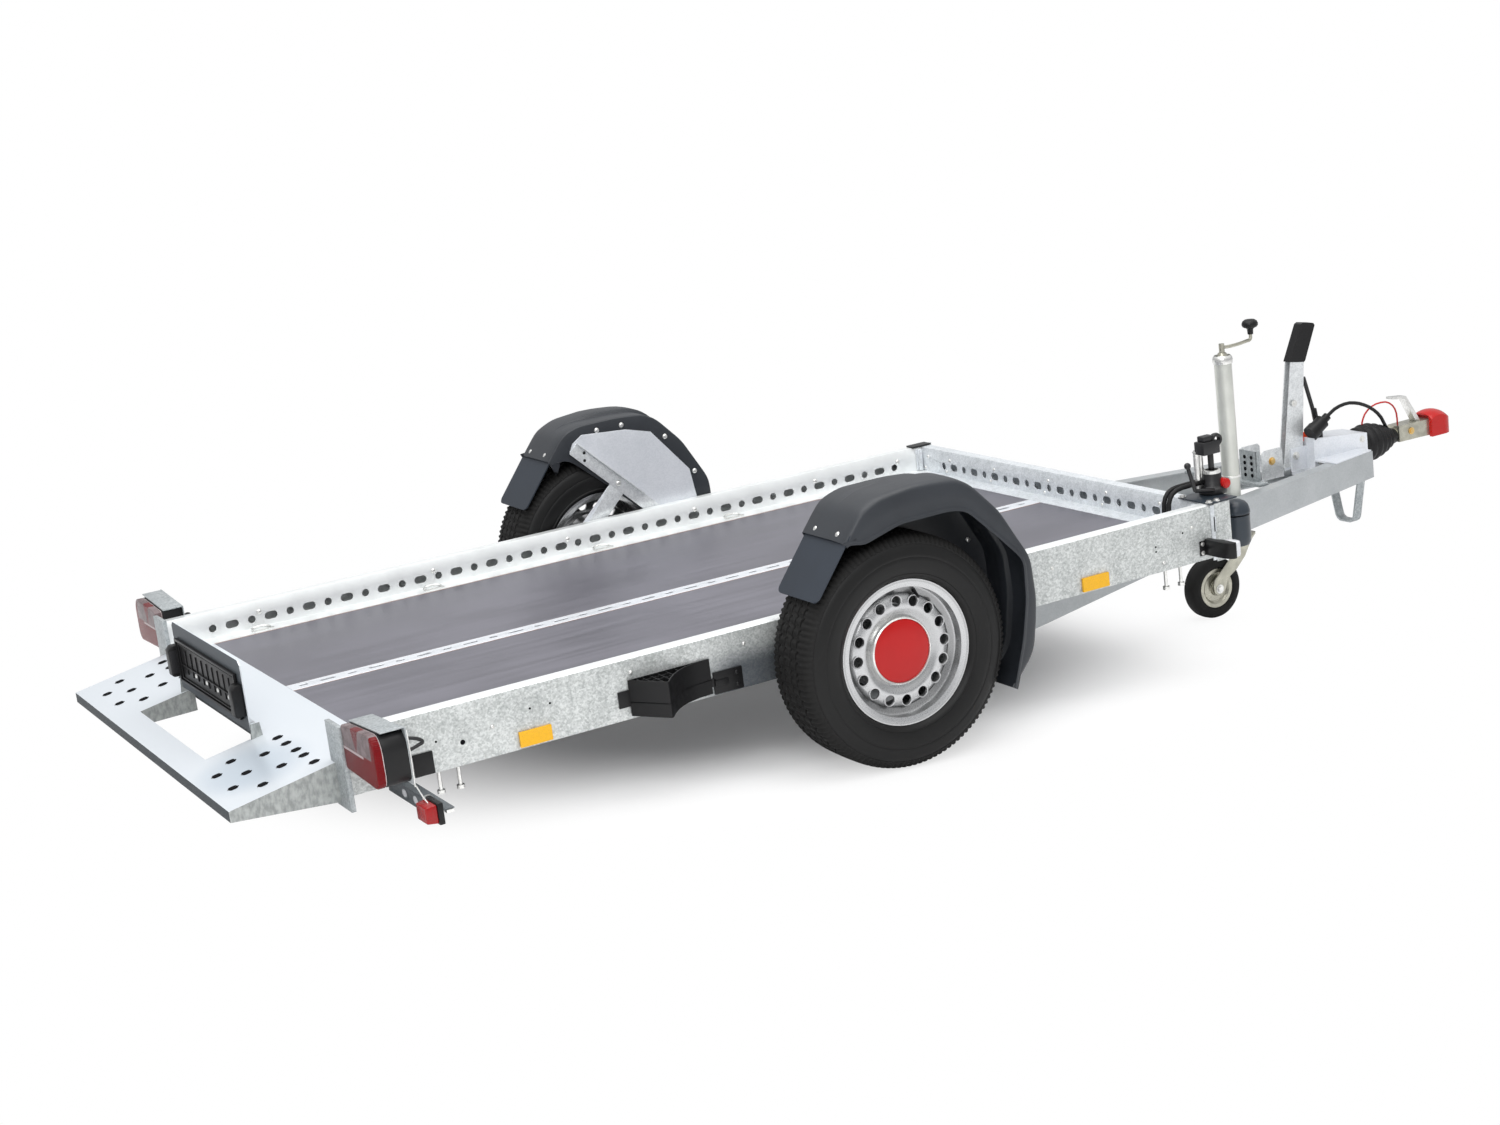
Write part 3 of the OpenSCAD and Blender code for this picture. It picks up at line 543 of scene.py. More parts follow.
@dataclass(frozen=True)
class FoldedSheet:
    """New sheet with a soft blue gradient, sides mottled and painted darker as shade, rear and
    lower faces painted dark as shade.
    """

    name: str
    top: Colour = (0.7, 0.74, 0.78)
    blue: Colour = (0.42, 0.5, 0.58)
    side: tuple[Colour, Colour] = ((0.27, 0.285, 0.28), (0.44, 0.46, 0.45))
    slate: Colour = (0.028, 0.036, 0.042)
    patch: tuple[float, float] = (-1.62, -0.5)

    def material(self) -> bpy.types.Material:
        """Returns the finished material."""
        p = Paint(self.name)
        way = p.node("ShaderNodeTexCoord", output="Normal")
        spot = p.upright()
        wide = p.noise(2.5, 3, seed=4)
        away = (p.axis(spot, "X") - self.patch[0]) * 6
        beside = (p.axis(spot, "Y") - self.patch[1]) * 5
        near = 1 - (away * away + beside * beside).ramp(0.02, 1.0)
        sheet = p.blend(near * (0.35 + wide * 0.5), self.top, self.blue)
        cloud = p.noise(85, 5, (1, 1, 0.5), seed=7, rough=0.6)
        mottled = p.blend(cloud.ramp(0.3, 0.7), *self.side)
        # Painted shade: side faces take the mottled zinc, darker than the top.
        shaded_flank = abs(p.axis(way, "Y")).ramp(0.6, 0.8)
        # Painted shade: faces turned to the rear or downwards take the dark blue-grey colour and
        # lose their metal.
        rear = (p.axis(way, "X") * -1).ramp(0.6, 0.8).largest(
            (p.axis(way, "Z") * -1).ramp(0.4, 0.7))
        p.set(Base_Color=p.blend(rear, p.blend(shaded_flank, sheet, mottled), self.slate),
              Metallic=(1 - rear) * 0.4, Specular_IOR_Level=0.1,
              Roughness=0.26 + shaded_flank * 0.16 + rear * 0.2 + wide * 0.05)
        p.bump(cloud, 0.00015, 0.3)
        return p.material


class Finishes:
    """All finishes of the trailer, made once each."""

    def __init__(self) -> None:
        """Makes the materials."""
        # The rail takes painted wheel shade beside the wheel and the painted sky reflection on its
        # load-space side.
        self.rail = Galvanised("rail_zinc", (0.34, 0.36, 0.355), (0.68, 0.7, 0.69), 0.22,
                               inner_y=0.7844, painted_wheel_shade=0.85).material()
        self.post = Galvanised("post_zinc", (0.24, 0.265, 0.275), (0.5, 0.53, 0.54),
                               0.24).material()
        self.wall = Galvanised("front_zinc", (0.5, 0.53, 0.55), (0.8, 0.83, 0.86), 0.3, 0.4, 0.36,
                               50).material()
        self.frame = Galvanised("frame_zinc", (0.35, 0.37, 0.38), (0.46, 0.48, 0.49), 0.4, 0.45,
                                0.34, 12).material()
        self.sheet = Galvanised("sheet_zinc", (0.64, 0.67, 0.71), (0.84, 0.86, 0.9), 0.4, 0.45,
                                0.28, 8).material()
        self.ramp = FoldedSheet("ramp_sheet").material()
        self.flap_sheet = FoldedSheet("flap_sheet", side=((0.56, 0.58, 0.6), (0.74, 0.76, 0.78)),
                                      slate=(0.07, 0.08, 0.09)).material()
        self.lever = Galvanised("lever_zinc", (0.55, 0.57, 0.58), (0.86, 0.88, 0.89), 0.26, 0.55,
                                0.28, 60).material()
        # Painted shade: the marker arms' dark zinc stands for the shade on their rear face.
        self.slate = Galvanised("slate_zinc", (0.07, 0.08, 0.09), (0.13, 0.145, 0.155), 0.3, 0.3,
                                0.4, 20).material()
        self.tube = SmoothMetal("jockey_zinc", (0.6, 0.61, 0.57), 0.7, 0.3, 0.1).material()
        self.plated = SmoothMetal("yellow_zinc", (0.42, 0.41, 0.345), 0.85, 0.22, 0.15,
                                  30).material()
        self.bolt = SmoothMetal("bolt_zinc", (0.72, 0.72, 0.7), 0.9, 0.22, 0.1, 60).material()
        self.brass = SmoothMetal("gold_zinc", (0.72, 0.5, 0.2), 0.9, 0.28, 0.1, 60).material()
        self.rim = WheelSilver("rim_silver").material()
        self.black = SmoothMetal("black_enamel", (0.008, 0.008, 0.009), 0.0, 0.36, 0.3).material()
        self.ply = FilmPly("film_plywood").material()
        self.guard = Plastic("guard_slate", (0.02, 0.023, 0.028), 0.42, 700, 0.00025,
                             gloss=0.4).material()
        self.flap = Plastic("flap_slate", (0.016, 0.022, 0.032), 0.5, 500, 0.0003,
                            gloss=0.4).material()
        self.tank = Plastic("tank_slate", (0.02, 0.028, 0.038), 0.36, gloss=0.45).material()
        self.moulding = Plastic("black_moulding", (0.006, 0.006, 0.0065), 0.4).material()
        # Painted shade: near-black discs laid in holes stand for the shade inside them.
        self.hollow = Plastic("dark_hole", (0.004, 0.004, 0.005), 0.7, gloss=0.05).material()
        self.soft = Plastic("soft_rubber", (0.006, 0.006, 0.0065), 0.5, 600).material()
        self.red = Plastic("red_moulding", (0.42, 0.005, 0.004), 0.32, 900, 0.0001, 0.1,
                           0.15).material()
        self.orange = Plastic("orange_moulding", (0.75, 0.06, 0.012), 0.32, 900, 0.0001,
                              0.1).material()
        self.tyre = TyreRubber("tyre_rubber").material()
        self.lens = LampLens("lamp_lens").material()
        self.marker = Reflector("marker_red", (0.34, 0.002, 0.003)).material()
        self.amber = Reflector("reflector_amber", (0.9, 0.47, 0.003)).material()
        self.clear = Reflector("marker_clear", (0.78, 0.79, 0.82)).material()
        self.cap = Plastic("cap_red", (0.4, 0.004, 0.004), 0.3, 900, 0.00004, 0.1,
                           0.1).material()
        self.plate = Plastic("plate_blank", (0.02, 0.02, 0.022), 0.35).material()


class Shape:
    """A bmesh in the trailer's own axes, in millimetres, with the shapes that the pieces need."""

    def __init__(self) -> None:
        """Starts an empty mesh."""
        self.bm = bmesh.new()

    def box(self, low: Point, high: Point) -> "Shape":
        """Adds a box by its two corners."""
        size = [b - a for a, b in zip(low, high)]
        middle = [(a + b) / 2 for a, b in zip(low, high)]
        turn = Matrix.Translation(middle) @ Matrix.Diagonal((*size, 1))
        bmesh.ops.create_cube(self.bm, size=1, matrix=turn)
        return self

    def rod(self, start: Point, end: Point, radius: float, sides: int = 24,
            tip: float | None = None) -> "Shape":
        """Adds a round bar or a cone between two points."""
        a, b = Vector(start), Vector(end)
        turn = (b - a).to_track_quat("Z", "Y").to_matrix().to_4x4()
        bmesh.ops.create_cone(
            self.bm, cap_ends=True, segments=sides, radius1=radius,
            radius2=radius if tip is None else tip, depth=(b - a).length,
            matrix=Matrix.Translation((a + b) / 2) @ turn)
        return self

    def ball(self, centre: Point, radius: float, squash: Point = (1, 1, 1)) -> "Shape":
        """Adds a ball, squashed along the axes."""
        turn = Matrix.Translation(centre) @ Matrix.Diagonal((*squash, 1))
        bmesh.ops.create_uvsphere(self.bm, u_segments=24, v_segments=14, radius=radius,
                                  matrix=turn)
        return self

    def prism(self, outline: Iterable[Point], step: Point) -> "Shape":
        """Adds a flat outline of points, extruded by a step."""
        corners = [self.bm.verts.new(p) for p in outline]
        face = self.bm.faces.new(corners)
        made = bmesh.ops.extrude_face_region(self.bm, geom=[face], use_keep_orig=True)
        moved = [v for v in made["geom"] if isinstance(v, bmesh.types.BMVert)]
        bmesh.ops.translate(self.bm, verts=moved, vec=step)
        return self

    def lathe(self, profile: Iterable[Point], centre: Point, steps: int,
              closed: bool = False, axis: Point = (0, 1, 0)) -> list[bmesh.types.BMVert]:
        """Spins a profile of radius and distance along the axis about a centre.

        Args:
            profile: Pairs of radius and distance.
            centre: The centre of the turn.
            steps: How many steps a full turn has.
            closed: Whether the profile's ends join.
            axis: The axis of the turn.

        Returns:
            The new vertices.
        """
        before = set(self.bm.verts)
        c = Vector(centre)
        way = Vector(axis)
        arm = Vector((0, 0, 1)) if way.x else Vector((1, 0, 0))
        verts = [self.bm.verts.new(c + arm * r + way * d) for r, d in profile]
        pairs = list(zip(verts, verts[1:])) + ([(verts[-1], verts[0])] if closed else [])
        edges = [self.bm.edges.new(pair) for pair in pairs]
        bmesh.ops.spin(self.bm, geom=verts + edges, cent=c, axis=way, angle=math.tau,
                       steps=steps, use_merge=True)
        return [v for v in self.bm.verts if v not in before]

    def tray(self, outline: Sequence[Point], low: float, high: float, floor: float) -> "Shape":
        """Adds an upright wall over an outline of x and y, with a floor part of the way up."""
        ring = [self.bm.verts.new((x, y, low)) for x, y in outline]
        edges = [self.bm.edges.new(pair) for pair in zip(ring, ring[1:] + ring[:1])]
        made = bmesh.ops.extrude_edge_only(self.bm, edges=edges)
        moved = [v for v in made["geom"] if isinstance(v, bmesh.types.BMVert)]
        bmesh.ops.translate(self.bm, verts=moved, vec=(0, 0, high - low))
        self.bm.faces.new([self.bm.verts.new((x, y, floor)) for x, y in outline])
        return self

    def bolt(self, place: Point, way: Point, radius: float = 8, height: float = 5,
             washer: bool = True) -> "Shape":
        """Adds a hexagon head on a washer, standing out along a direction."""
        p, n = Vector(place), Vector(way).normalized()
        if washer:
            self.rod(p - n, p + n * 1.6, radius * 1.35, 20)
        self.rod(p, p + n * height, radius, 6, radius * 0.94)
        return self

    def dome(self, place: Point, way: Point, radius: float = 9, height: float = 6) -> "Shape":
        """Adds a domed bolt head standing out along a direction."""
        p, n = Vector(place), Vector(way).normalized()
        turn = n.to_track_quat("Z", "Y").to_matrix().to_4x4()
        scale = Matrix.Diagonal((radius, radius, height, 1))
        bmesh.ops.create_uvsphere(self.bm, u_segments=16, v_segments=8, radius=1,
                                  matrix=Matrix.Translation(p) @ turn @ scale)
        return self

    def bend(self, points: Iterable[Point], radius: float, sides: int = 6) -> "Shape":
        """Adds a smoothly bent rod or hose through points."""
        curve = bpy.data.curves.new("bend", "CURVE")
        curve.dimensions = "3D"
        curve.bevel_depth = radius
        curve.bevel_resolution = sides
        curve.resolution_u = 8
        curve.use_fill_caps = True
        spline = curve.splines.new("BEZIER")
        spots = [Vector(p) for p in points]
        spline.bezier_points.add(len(spots) - 1)
        for knot, spot in zip(spline.bezier_points, spots):
            knot.co = spot
            knot.handle_left_type = knot.handle_right_type = "AUTO"
        holder = bpy.data.objects.new("bend", curve)
        bpy.context.scene.collection.objects.link(holder)
        bpy.context.view_layer.update()
        mesh = bpy.data.meshes.new_from_object(
            holder.evaluated_get(bpy.context.evaluated_depsgraph_get()))
        self.bm.from_mesh(mesh)
        bpy.data.objects.remove(holder)
        bpy.data.curves.remove(curve)
        bpy.data.meshes.remove(mesh)
        return self

    def both(self) -> "Shape":
        """Mirrors all that is there to the other side."""
        made = bmesh.ops.duplicate(self.bm, geom=self.bm.verts[:] + self.bm.edges[:]
                                   + self.bm.faces[:])
        verts = [v for v in made["geom"] if isinstance(v, bmesh.types.BMVert)]
        bmesh.ops.scale(self.bm, verts=verts, vec=(1, -1, 1))
        faces = [f for f in made["geom"] if isinstance(f, bmesh.types.BMFace)]
        bmesh.ops.reverse_faces(self.bm, faces=faces)
        return self

    def piece(self, name: str, body: str, finish: bpy.types.Material,
              replaces: Sequence[str] = (), bevel: float = 0.0, thickness: float = 0.0,
              smooth: float = 40) -> bpy.types.Object:
        """Makes the shape a finished piece of the trailer.

        Args:
            name: The piece's name.
            body: The body that it rides on.
            finish: Its material.
            replaces: CAD nodes that it stands for.
            bevel: Width of its rounded edges, in millimetres.
            thickness: Wall given to an open sheet, in millimetres.
            smooth: Faces that meet at less than this angle are shaded as one.

        Returns:
            The new object.
        """
        bm = self.bm
        bmesh.ops.remove_doubles(bm, verts=bm.verts, dist=0.01)
        bmesh.ops.recalc_face_normals(bm, faces=bm.faces)
        if bevel:
            sharp = [e for e in bm.edges if e.is_manifold
                     and e.calc_face_angle(0) > math.radians(smooth)]
            bmesh.ops.bevel(bm, geom=sharp, offset=bevel, affect="EDGES", segments=2,
                            profile=0.5, material=-1, clamp_overlap=True)
        bmesh.ops.transform(bm, matrix=STANCE.place(), verts=bm.verts)
        for face in bm.faces:
            face.smooth = True
        for edge in bm.edges:
            edge.smooth = edge.is_manifold and edge.calc_face_angle(0) < math.radians(smooth)
        mesh = bpy.data.meshes.new(name)
        bm.to_mesh(mesh)
        bm.free()
        made = bpy.data.objects.new(name, mesh)
        bpy.context.scene.collection.objects.link(made)
        mesh.materials.append(finish)
        if thickness:
            wall = made.modifiers.new("wall", "SOLIDIFY")
            wall.thickness = thickness * MM
            wall.offset = -1
        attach(made, body)
        if replaces:
            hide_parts(*replaces)
        LOG.info("piece %s rides on %s", name, body)
        return made


def ray_radius(line: Sequence[Point], angle: float) -> float:
    """Distance from the wheel's centre to a side-view line of x and z along a direction.

    Args:
        line: Points of x and z in the trailer's axes.
        angle: Direction about the wheel's centre, 0 forward and a quarter turn up.

    Returns:
        The distance, or that of the nearest end.
    """
    way = Vector((math.cos(angle), math.sin(angle)))
    spots = [Vector((x, z - WHEEL_R)) for x, z in line]
    for a, b in zip(spots, spots[1:]):
        edge = b - a
        bottom = way.x * -edge.y + way.y * edge.x
        if abs(bottom) < 1e-9:
            continue
        along = (a.x * -edge.y + a.y * edge.x) / bottom
        share = (way.x * a.y - way.y * a.x) / bottom
        if along > 0 and -1e-6 <= share <= 1 + 1e-6:
            return along
    ends = sorted((spots[0], spots[-1]), key=lambda s: abs(math.atan2(s.y, s.x) - angle))
    return ends[0].length


def squared(value: float) -> float:
    """Returns a sine's or cosine's value drawn out towards a rounded square's."""
    return math.copysign(abs(value) ** 0.6, value)


@dataclass
class RoadWheels:
    """The road tyres with their tread, and the caps and valves of the rims."""

    finishes: Finishes
    wheel_y: float = 900.0
    steps: int = 480
    tread_r: float = 314.5
    shoulder: float = 62.0
    groove: float = 8.0
    grooves: tuple[float, ...] = (-44.0, -15.0, 15.0, 44.0)
    cap_r: float = 91.0

    def profile(self) -> list[Point]:
        """Returns the outline of the tyre's half-turned section as radius and distance."""
        crown = [(self.tread_r, 0.0), (314.3, 11.0), (314.2, 12.5), (314.2 - self.groove, 13.5),
                 (314.2 - self.groove, 16.5), (314.1, 17.5), (314.0, 28.0), (313.9, 40.5),
                 (313.8 - self.groove, 41.8), (313.8 - self.groove, 46.2), (313.7, 47.5),
                 (313.3, 57.0), (312.4, 66.0), (310.5, 74.0), (307.0, 80.5), (302.0, 85.5),
                 (297.0, 88.5), (291.0, 91.5), (289.0, 90.8), (287.0, 93.0), (276.0, 96.4),
                 (262.0, 99.4), (257.0, 100.2), (255.0, 99.2), (253.0, 100.5), (244.0, 100.4),
                 (230.0, 99.4), (218.0, 96.6), (212.0, 94.4), (210.0, 95.8), (206.0, 94.2),
                 (200.0, 89.0), (197.0, 82.0), (192.0, 77.0), (182.0, 74.0), (182.0, 60.0)]
        return [(r, -d) for r, d in reversed(crown[1:])] + crown

    def cut_tread(self, verts: Iterable[bmesh.types.BMVert], centre: Vector) -> None:
        """Presses fine cross cuts into the ribs and shoulders of a spun tyre."""
        pitch = math.tau / self.steps
        for v in verts:
            arm = v.co - centre
            across = arm.y
            radius = math.hypot(arm.x, arm.z)
            if radius < 296 or radius < 309 and abs(across) < 50:
                continue
            turn = round(math.atan2(arm.z, arm.x) / pitch)
            outer = abs(across) > 50
            shift = 2 if across > 0 else 0
            if outer:
                depth = 4.2 if (turn + shift) % 4 < 2 else 0.0
            else:
                rib = int((across + 200) // 29)
                depth = 4.5 if (turn + rib * 3 + int(across / 6)) % 7 < 2 else 0.0
            if depth:
                scale = (radius - depth) / radius
                v.co.x = centre.x + arm.x * scale
                v.co.z = centre.z + arm.z * scale

    def tyre(self, side: Side) -> None:
        """Makes one tyre."""
        word = side.name.lower()
        centre = Vector((0, side.value * self.wheel_y, WHEEL_R))
        shape = Shape()
        verts = shape.lathe(self.profile(), centre, self.steps, closed=True)
        self.cut_tread(verts, centre)
        shape.piece(f"road_tyre_{word}", f"wheel_{word}", self.finishes.tyre,
                    [f"tyre_{word}"], smooth=50)

    def cap(self, side: Side) -> None:
        """Makes the domed cap with its bright edge, and the valve."""
        word = side.name.lower()
        out = side.value
        r = self.cap_r
        y0 = out * (self.wheel_y + 49)
        disc = Shape()
        disc.lathe([(0.01, 14.5 * out), (30, 14.2 * out), (58, 12.6 * out), (76, 10.4 * out),
                    (r - 6.5, 8.4 * out), (r - 6.5, 4 * out), (0.01, 4 * out)],
                   (0, y0, WHEEL_R), 96, closed=True)
        disc.piece(f"hub_cap_{word}", f"wheel_{word}", self.finishes.cap, [f"cap_{word}"],
                   smooth=35)
        ring = Shape()
        ring.lathe([(r - 6.5, 7 * out), (r - 5, 11.5 * out), (r - 3, 12 * out), (r - 0.5, 10 * out),
                    (r, 5 * out), (r, 0), (r - 7, 0)], (0, y0, WHEEL_R), 96, closed=True)
        ring.piece(f"cap_ring_{word}", f"wheel_{word}", self.finishes.bolt, smooth=25)
        self.disc_holes(side)
        valve = Shape()
        a = math.radians(68)
        foot = Vector((math.cos(a) * 164, out * (self.wheel_y + 44), WHEEL_R + math.sin(a) * 164))
        tip = foot + Vector((-math.cos(a) * 12, out * 26, -math.sin(a) * 12))
        valve.rod(foot, tip, 5.5, 16, 4)
        valve.rod(tip, tip + (tip - foot).normalized() * 9, 3.8, 12)
        valve.piece(f"valve_{word}", f"wheel_{word}", self.finishes.soft)

    def disc_holes(self, side: Side) -> None:
        """Makes the turned-in collars of the wheel disc's holes."""
        word, out = side.name.lower(), side.value
        collars = Shape()
        for i in range(16):
            a = math.radians(i * 22.5)
            foot = Vector((math.cos(a) * 134, out * (self.wheel_y + 57.2),
                           WHEEL_R + math.sin(a) * 134))
            collars.lathe([(14.2, -1 * out), (15, -0.2 * out), (17, -0.2 * out), (18, -2 * out),
                           (14.2, -7 * out)], foot, 28, closed=True)
        collars.piece(f"disc_collars_{word}", f"wheel_{word}", self.finishes.rim, smooth=50)

    def build(self) -> None:
        """Builds both wheels' own pieces."""
        for side in Side:
            self.tyre(side)
            self.cap(side)


@dataclass
class Mudguards:
    """The moulded guards: a shell swept round the wheel, its bolts, the bolts of its flap and the
    support bars.
    """

    finishes: Finishes
    inner_y: float = 793.8
    outer_y: float = 1010.0
    stations: int = 72
    crest: tuple[Point, ...] = (
        (-166, 648), (-105, 722), (-46, 742), (91, 744), (184, 737), (229, 714), (314, 624),
        (395, 483), (399, 372), (378, 237), (314, 141))
    skirt: tuple[Point, ...] = (
        (-150, 643), (-112, 630), (-59, 645), (5, 662), (160, 664), (209, 654), (306, 557),
        (373, 485), (370, 378), (349, 272), (308, 148))
    flange: tuple[Point, ...] = (
        (-150, 641), (-96, 640), (30, 532), (132, 436), (186, 384), (190, 300), (250, 262),
        (302, 150))

    def angles(self) -> list[float]:
        """Returns the directions of the sections, from the rear end to the front foot."""
        x0, z0 = self.crest[0]
        x1, z1 = self.crest[-1]
        start = math.atan2(z0 - WHEEL_R, x0)
        stop = math.atan2(z1 - WHEEL_R, x1)
        return [start + (stop - start) * i / (self.stations - 1) for i in range(self.stations)]

    def eased(self, line: Sequence[Point]) -> list[float]:
        """Returns the line's distance at each section, with its corners rounded."""
        found = [ray_radius(line, a) for a in self.angles()]
        for _ in range(2):
            found = [found[0]] + [
                (found[i - 1] + 2 * found[i] + found[i + 1]) / 4
                for i in range(1, len(found) - 1)] + [found[-1]]
        return found

    def section(self, top: float, skirt: float, flange: float, rise: float) -> list[Point]:
        """Returns one section as y and distance from the wheel's centre."""
        y0, y1 = self.inner_y, self.outer_y
        drop = min(top - 6, max(skirt, top - 92))
        step, crest = y0 + 86, top + 12 * rise
        return [(y0, min(flange, top - 6)), (y0, top - 50), (y0, top - 5), (y0 + 2, top - 1.5),
                (y0 + 6, top), (y0 + 50, top), (step, top), (step + 1.5, top + 1.5 * rise),
                (step + 4, crest - 1.5 * rise), (step + 6, crest), (y0 + 150, crest),
                (y0 + 184, crest - 2), (y1 - 15, crest - 4), (y1 - 8, crest - 8),
                (y1 - 4, crest - 15), (y1 - 3, (crest - 15 + drop) / 2), (y1 - 3, drop + 14),
                (y1 - 2.5, drop + 9), (y1 - 0.5, drop + 7), (y1, drop + 5), (y1, drop)]

    def guard(self, side: Side) -> None:
        """Makes one guard's shell."""
        tops, skirts = self.eased(self.crest), self.eased(self.skirt)
        flanges = self.eased(self.flange)
        last = self.stations - 1
        sections = []
        for i in range(self.stations):
            rise = min(1.0, max(0.0, (i - 7) / 9)) * min(1.0, (last - i) / 8 + 0.2)
            rise *= 1 + 0.55 * max(0.0, 1 - abs(i / last - 0.8) / 0.22)
            sections.append(self.section(tops[i], skirts[i], flanges[i], rise))
        rows = len(sections[0])
        shape = Shape()
        bmesh.ops.create_grid(shape.bm, x_segments=self.stations - 1, y_segments=rows - 1,
                              size=1)
        angles = self.angles()
        for v in shape.bm.verts:
            i = round((v.co.x + 1) / 2 * last)
            y, radius = sections[i][round((v.co.y + 1) / 2 * (rows - 1))]
            v.co = Vector((math.cos(angles[i]) * radius, side.value * y,
                           WHEEL_R + math.sin(angles[i]) * radius))
        if side is Side.RIGHT:
            bmesh.ops.reverse_faces(shape.bm, faces=shape.bm.faces)
        word = side.name.lower()
        made = shape.piece(f"guard_shell_{word}", "chassis", self.finishes.guard,
                           [f"mudguard_{word}"], thickness=3, smooth=60)
        outward = max(made.data.polygons, key=lambda f: f.center.z)
        if outward.normal.z < 0:
            made.data.flip_normals()

    def bolts(self) -> None:
        """Makes the domed bolts of the flange and the two that hold each flap."""
        shape = Shape()
        angles, tops = self.angles(), self.eased(self.crest)
        for i in (14, 20, 31, 42, 52, 61):
            middle = tops[i] - 27
            place = (math.cos(angles[i]) * middle, self.inner_y,
                     WHEEL_R + math.sin(angles[i]) * middle)
            shape.dome(place, (0, -1, 0), 9, 6)
        lean = math.radians(38.1)
        for y in (845, 955):
            foot = Vector((-158, y, 646)) + Vector((math.sin(lean), 0, math.cos(lean))) * 16
            shape.dome(foot + Vector((-math.cos(lean), 0, math.sin(lean))) * 3.5,
                       (-math.cos(lean), 0, math.sin(lean)), 9, 6)
        shape.both().piece("guard_bolts", "chassis", self.finishes.bolt)

    def bars(self) -> None:
        """Makes the folded bars that stiffen the support sheets, with dark discs painted as the
        shade in their holes, and bolts.
        """
        start, end, up = Vector((-92, 660)), Vector((195, 380)), Vector((0.7, 0.713)) * 42
        bar, dark, bolt = Shape(), Shape(), Shape()
        corners = [start, end, end + up, start + up]
        bar.prism([(c.x, 790.2, c.y) for c in corners], (0, -3, 0))
        stop = start.lerp(end, 0.74)
        lip = up.normalized() * 3
        corners = [start + up - lip, stop + up - lip, stop + up, start + up]
        bar.prism([(c.x, 788, c.y) for c in corners], (0, -13, 0))
        bar.prism([(x, 790.2, z) for x, z in ((44, 548), (92, 510), (-8, 416), (-56, 430))],
                  (0, -2, 0))
        # Painted shade: the holes are near-black discs on the bar.
        for share, lift in ((0.1, 0.75), (0.14, 0.3)):
            c = start.lerp(end, share) + up * lift
            dark.rod((c.x, 788, c.y), (c.x, 786.8, c.y), 5, 20)
        c = start.lerp(end, 0.5) + up * 0.45
        bolt.dome((c.x, 787, c.y), (0, -1, 0), 10, 6)
        bar.both().piece("support_bars", "chassis", self.finishes.lever, bevel=0.6)
        dark.both().piece("support_holes", "chassis", self.finishes.moulding)
        bolt.both().piece("support_bolts", "chassis", self.finishes.bolt)

    def build(self) -> None:
        """Builds both guards."""
        for side in Side:
            self.guard(side)
        self.bolts()
        self.bars()


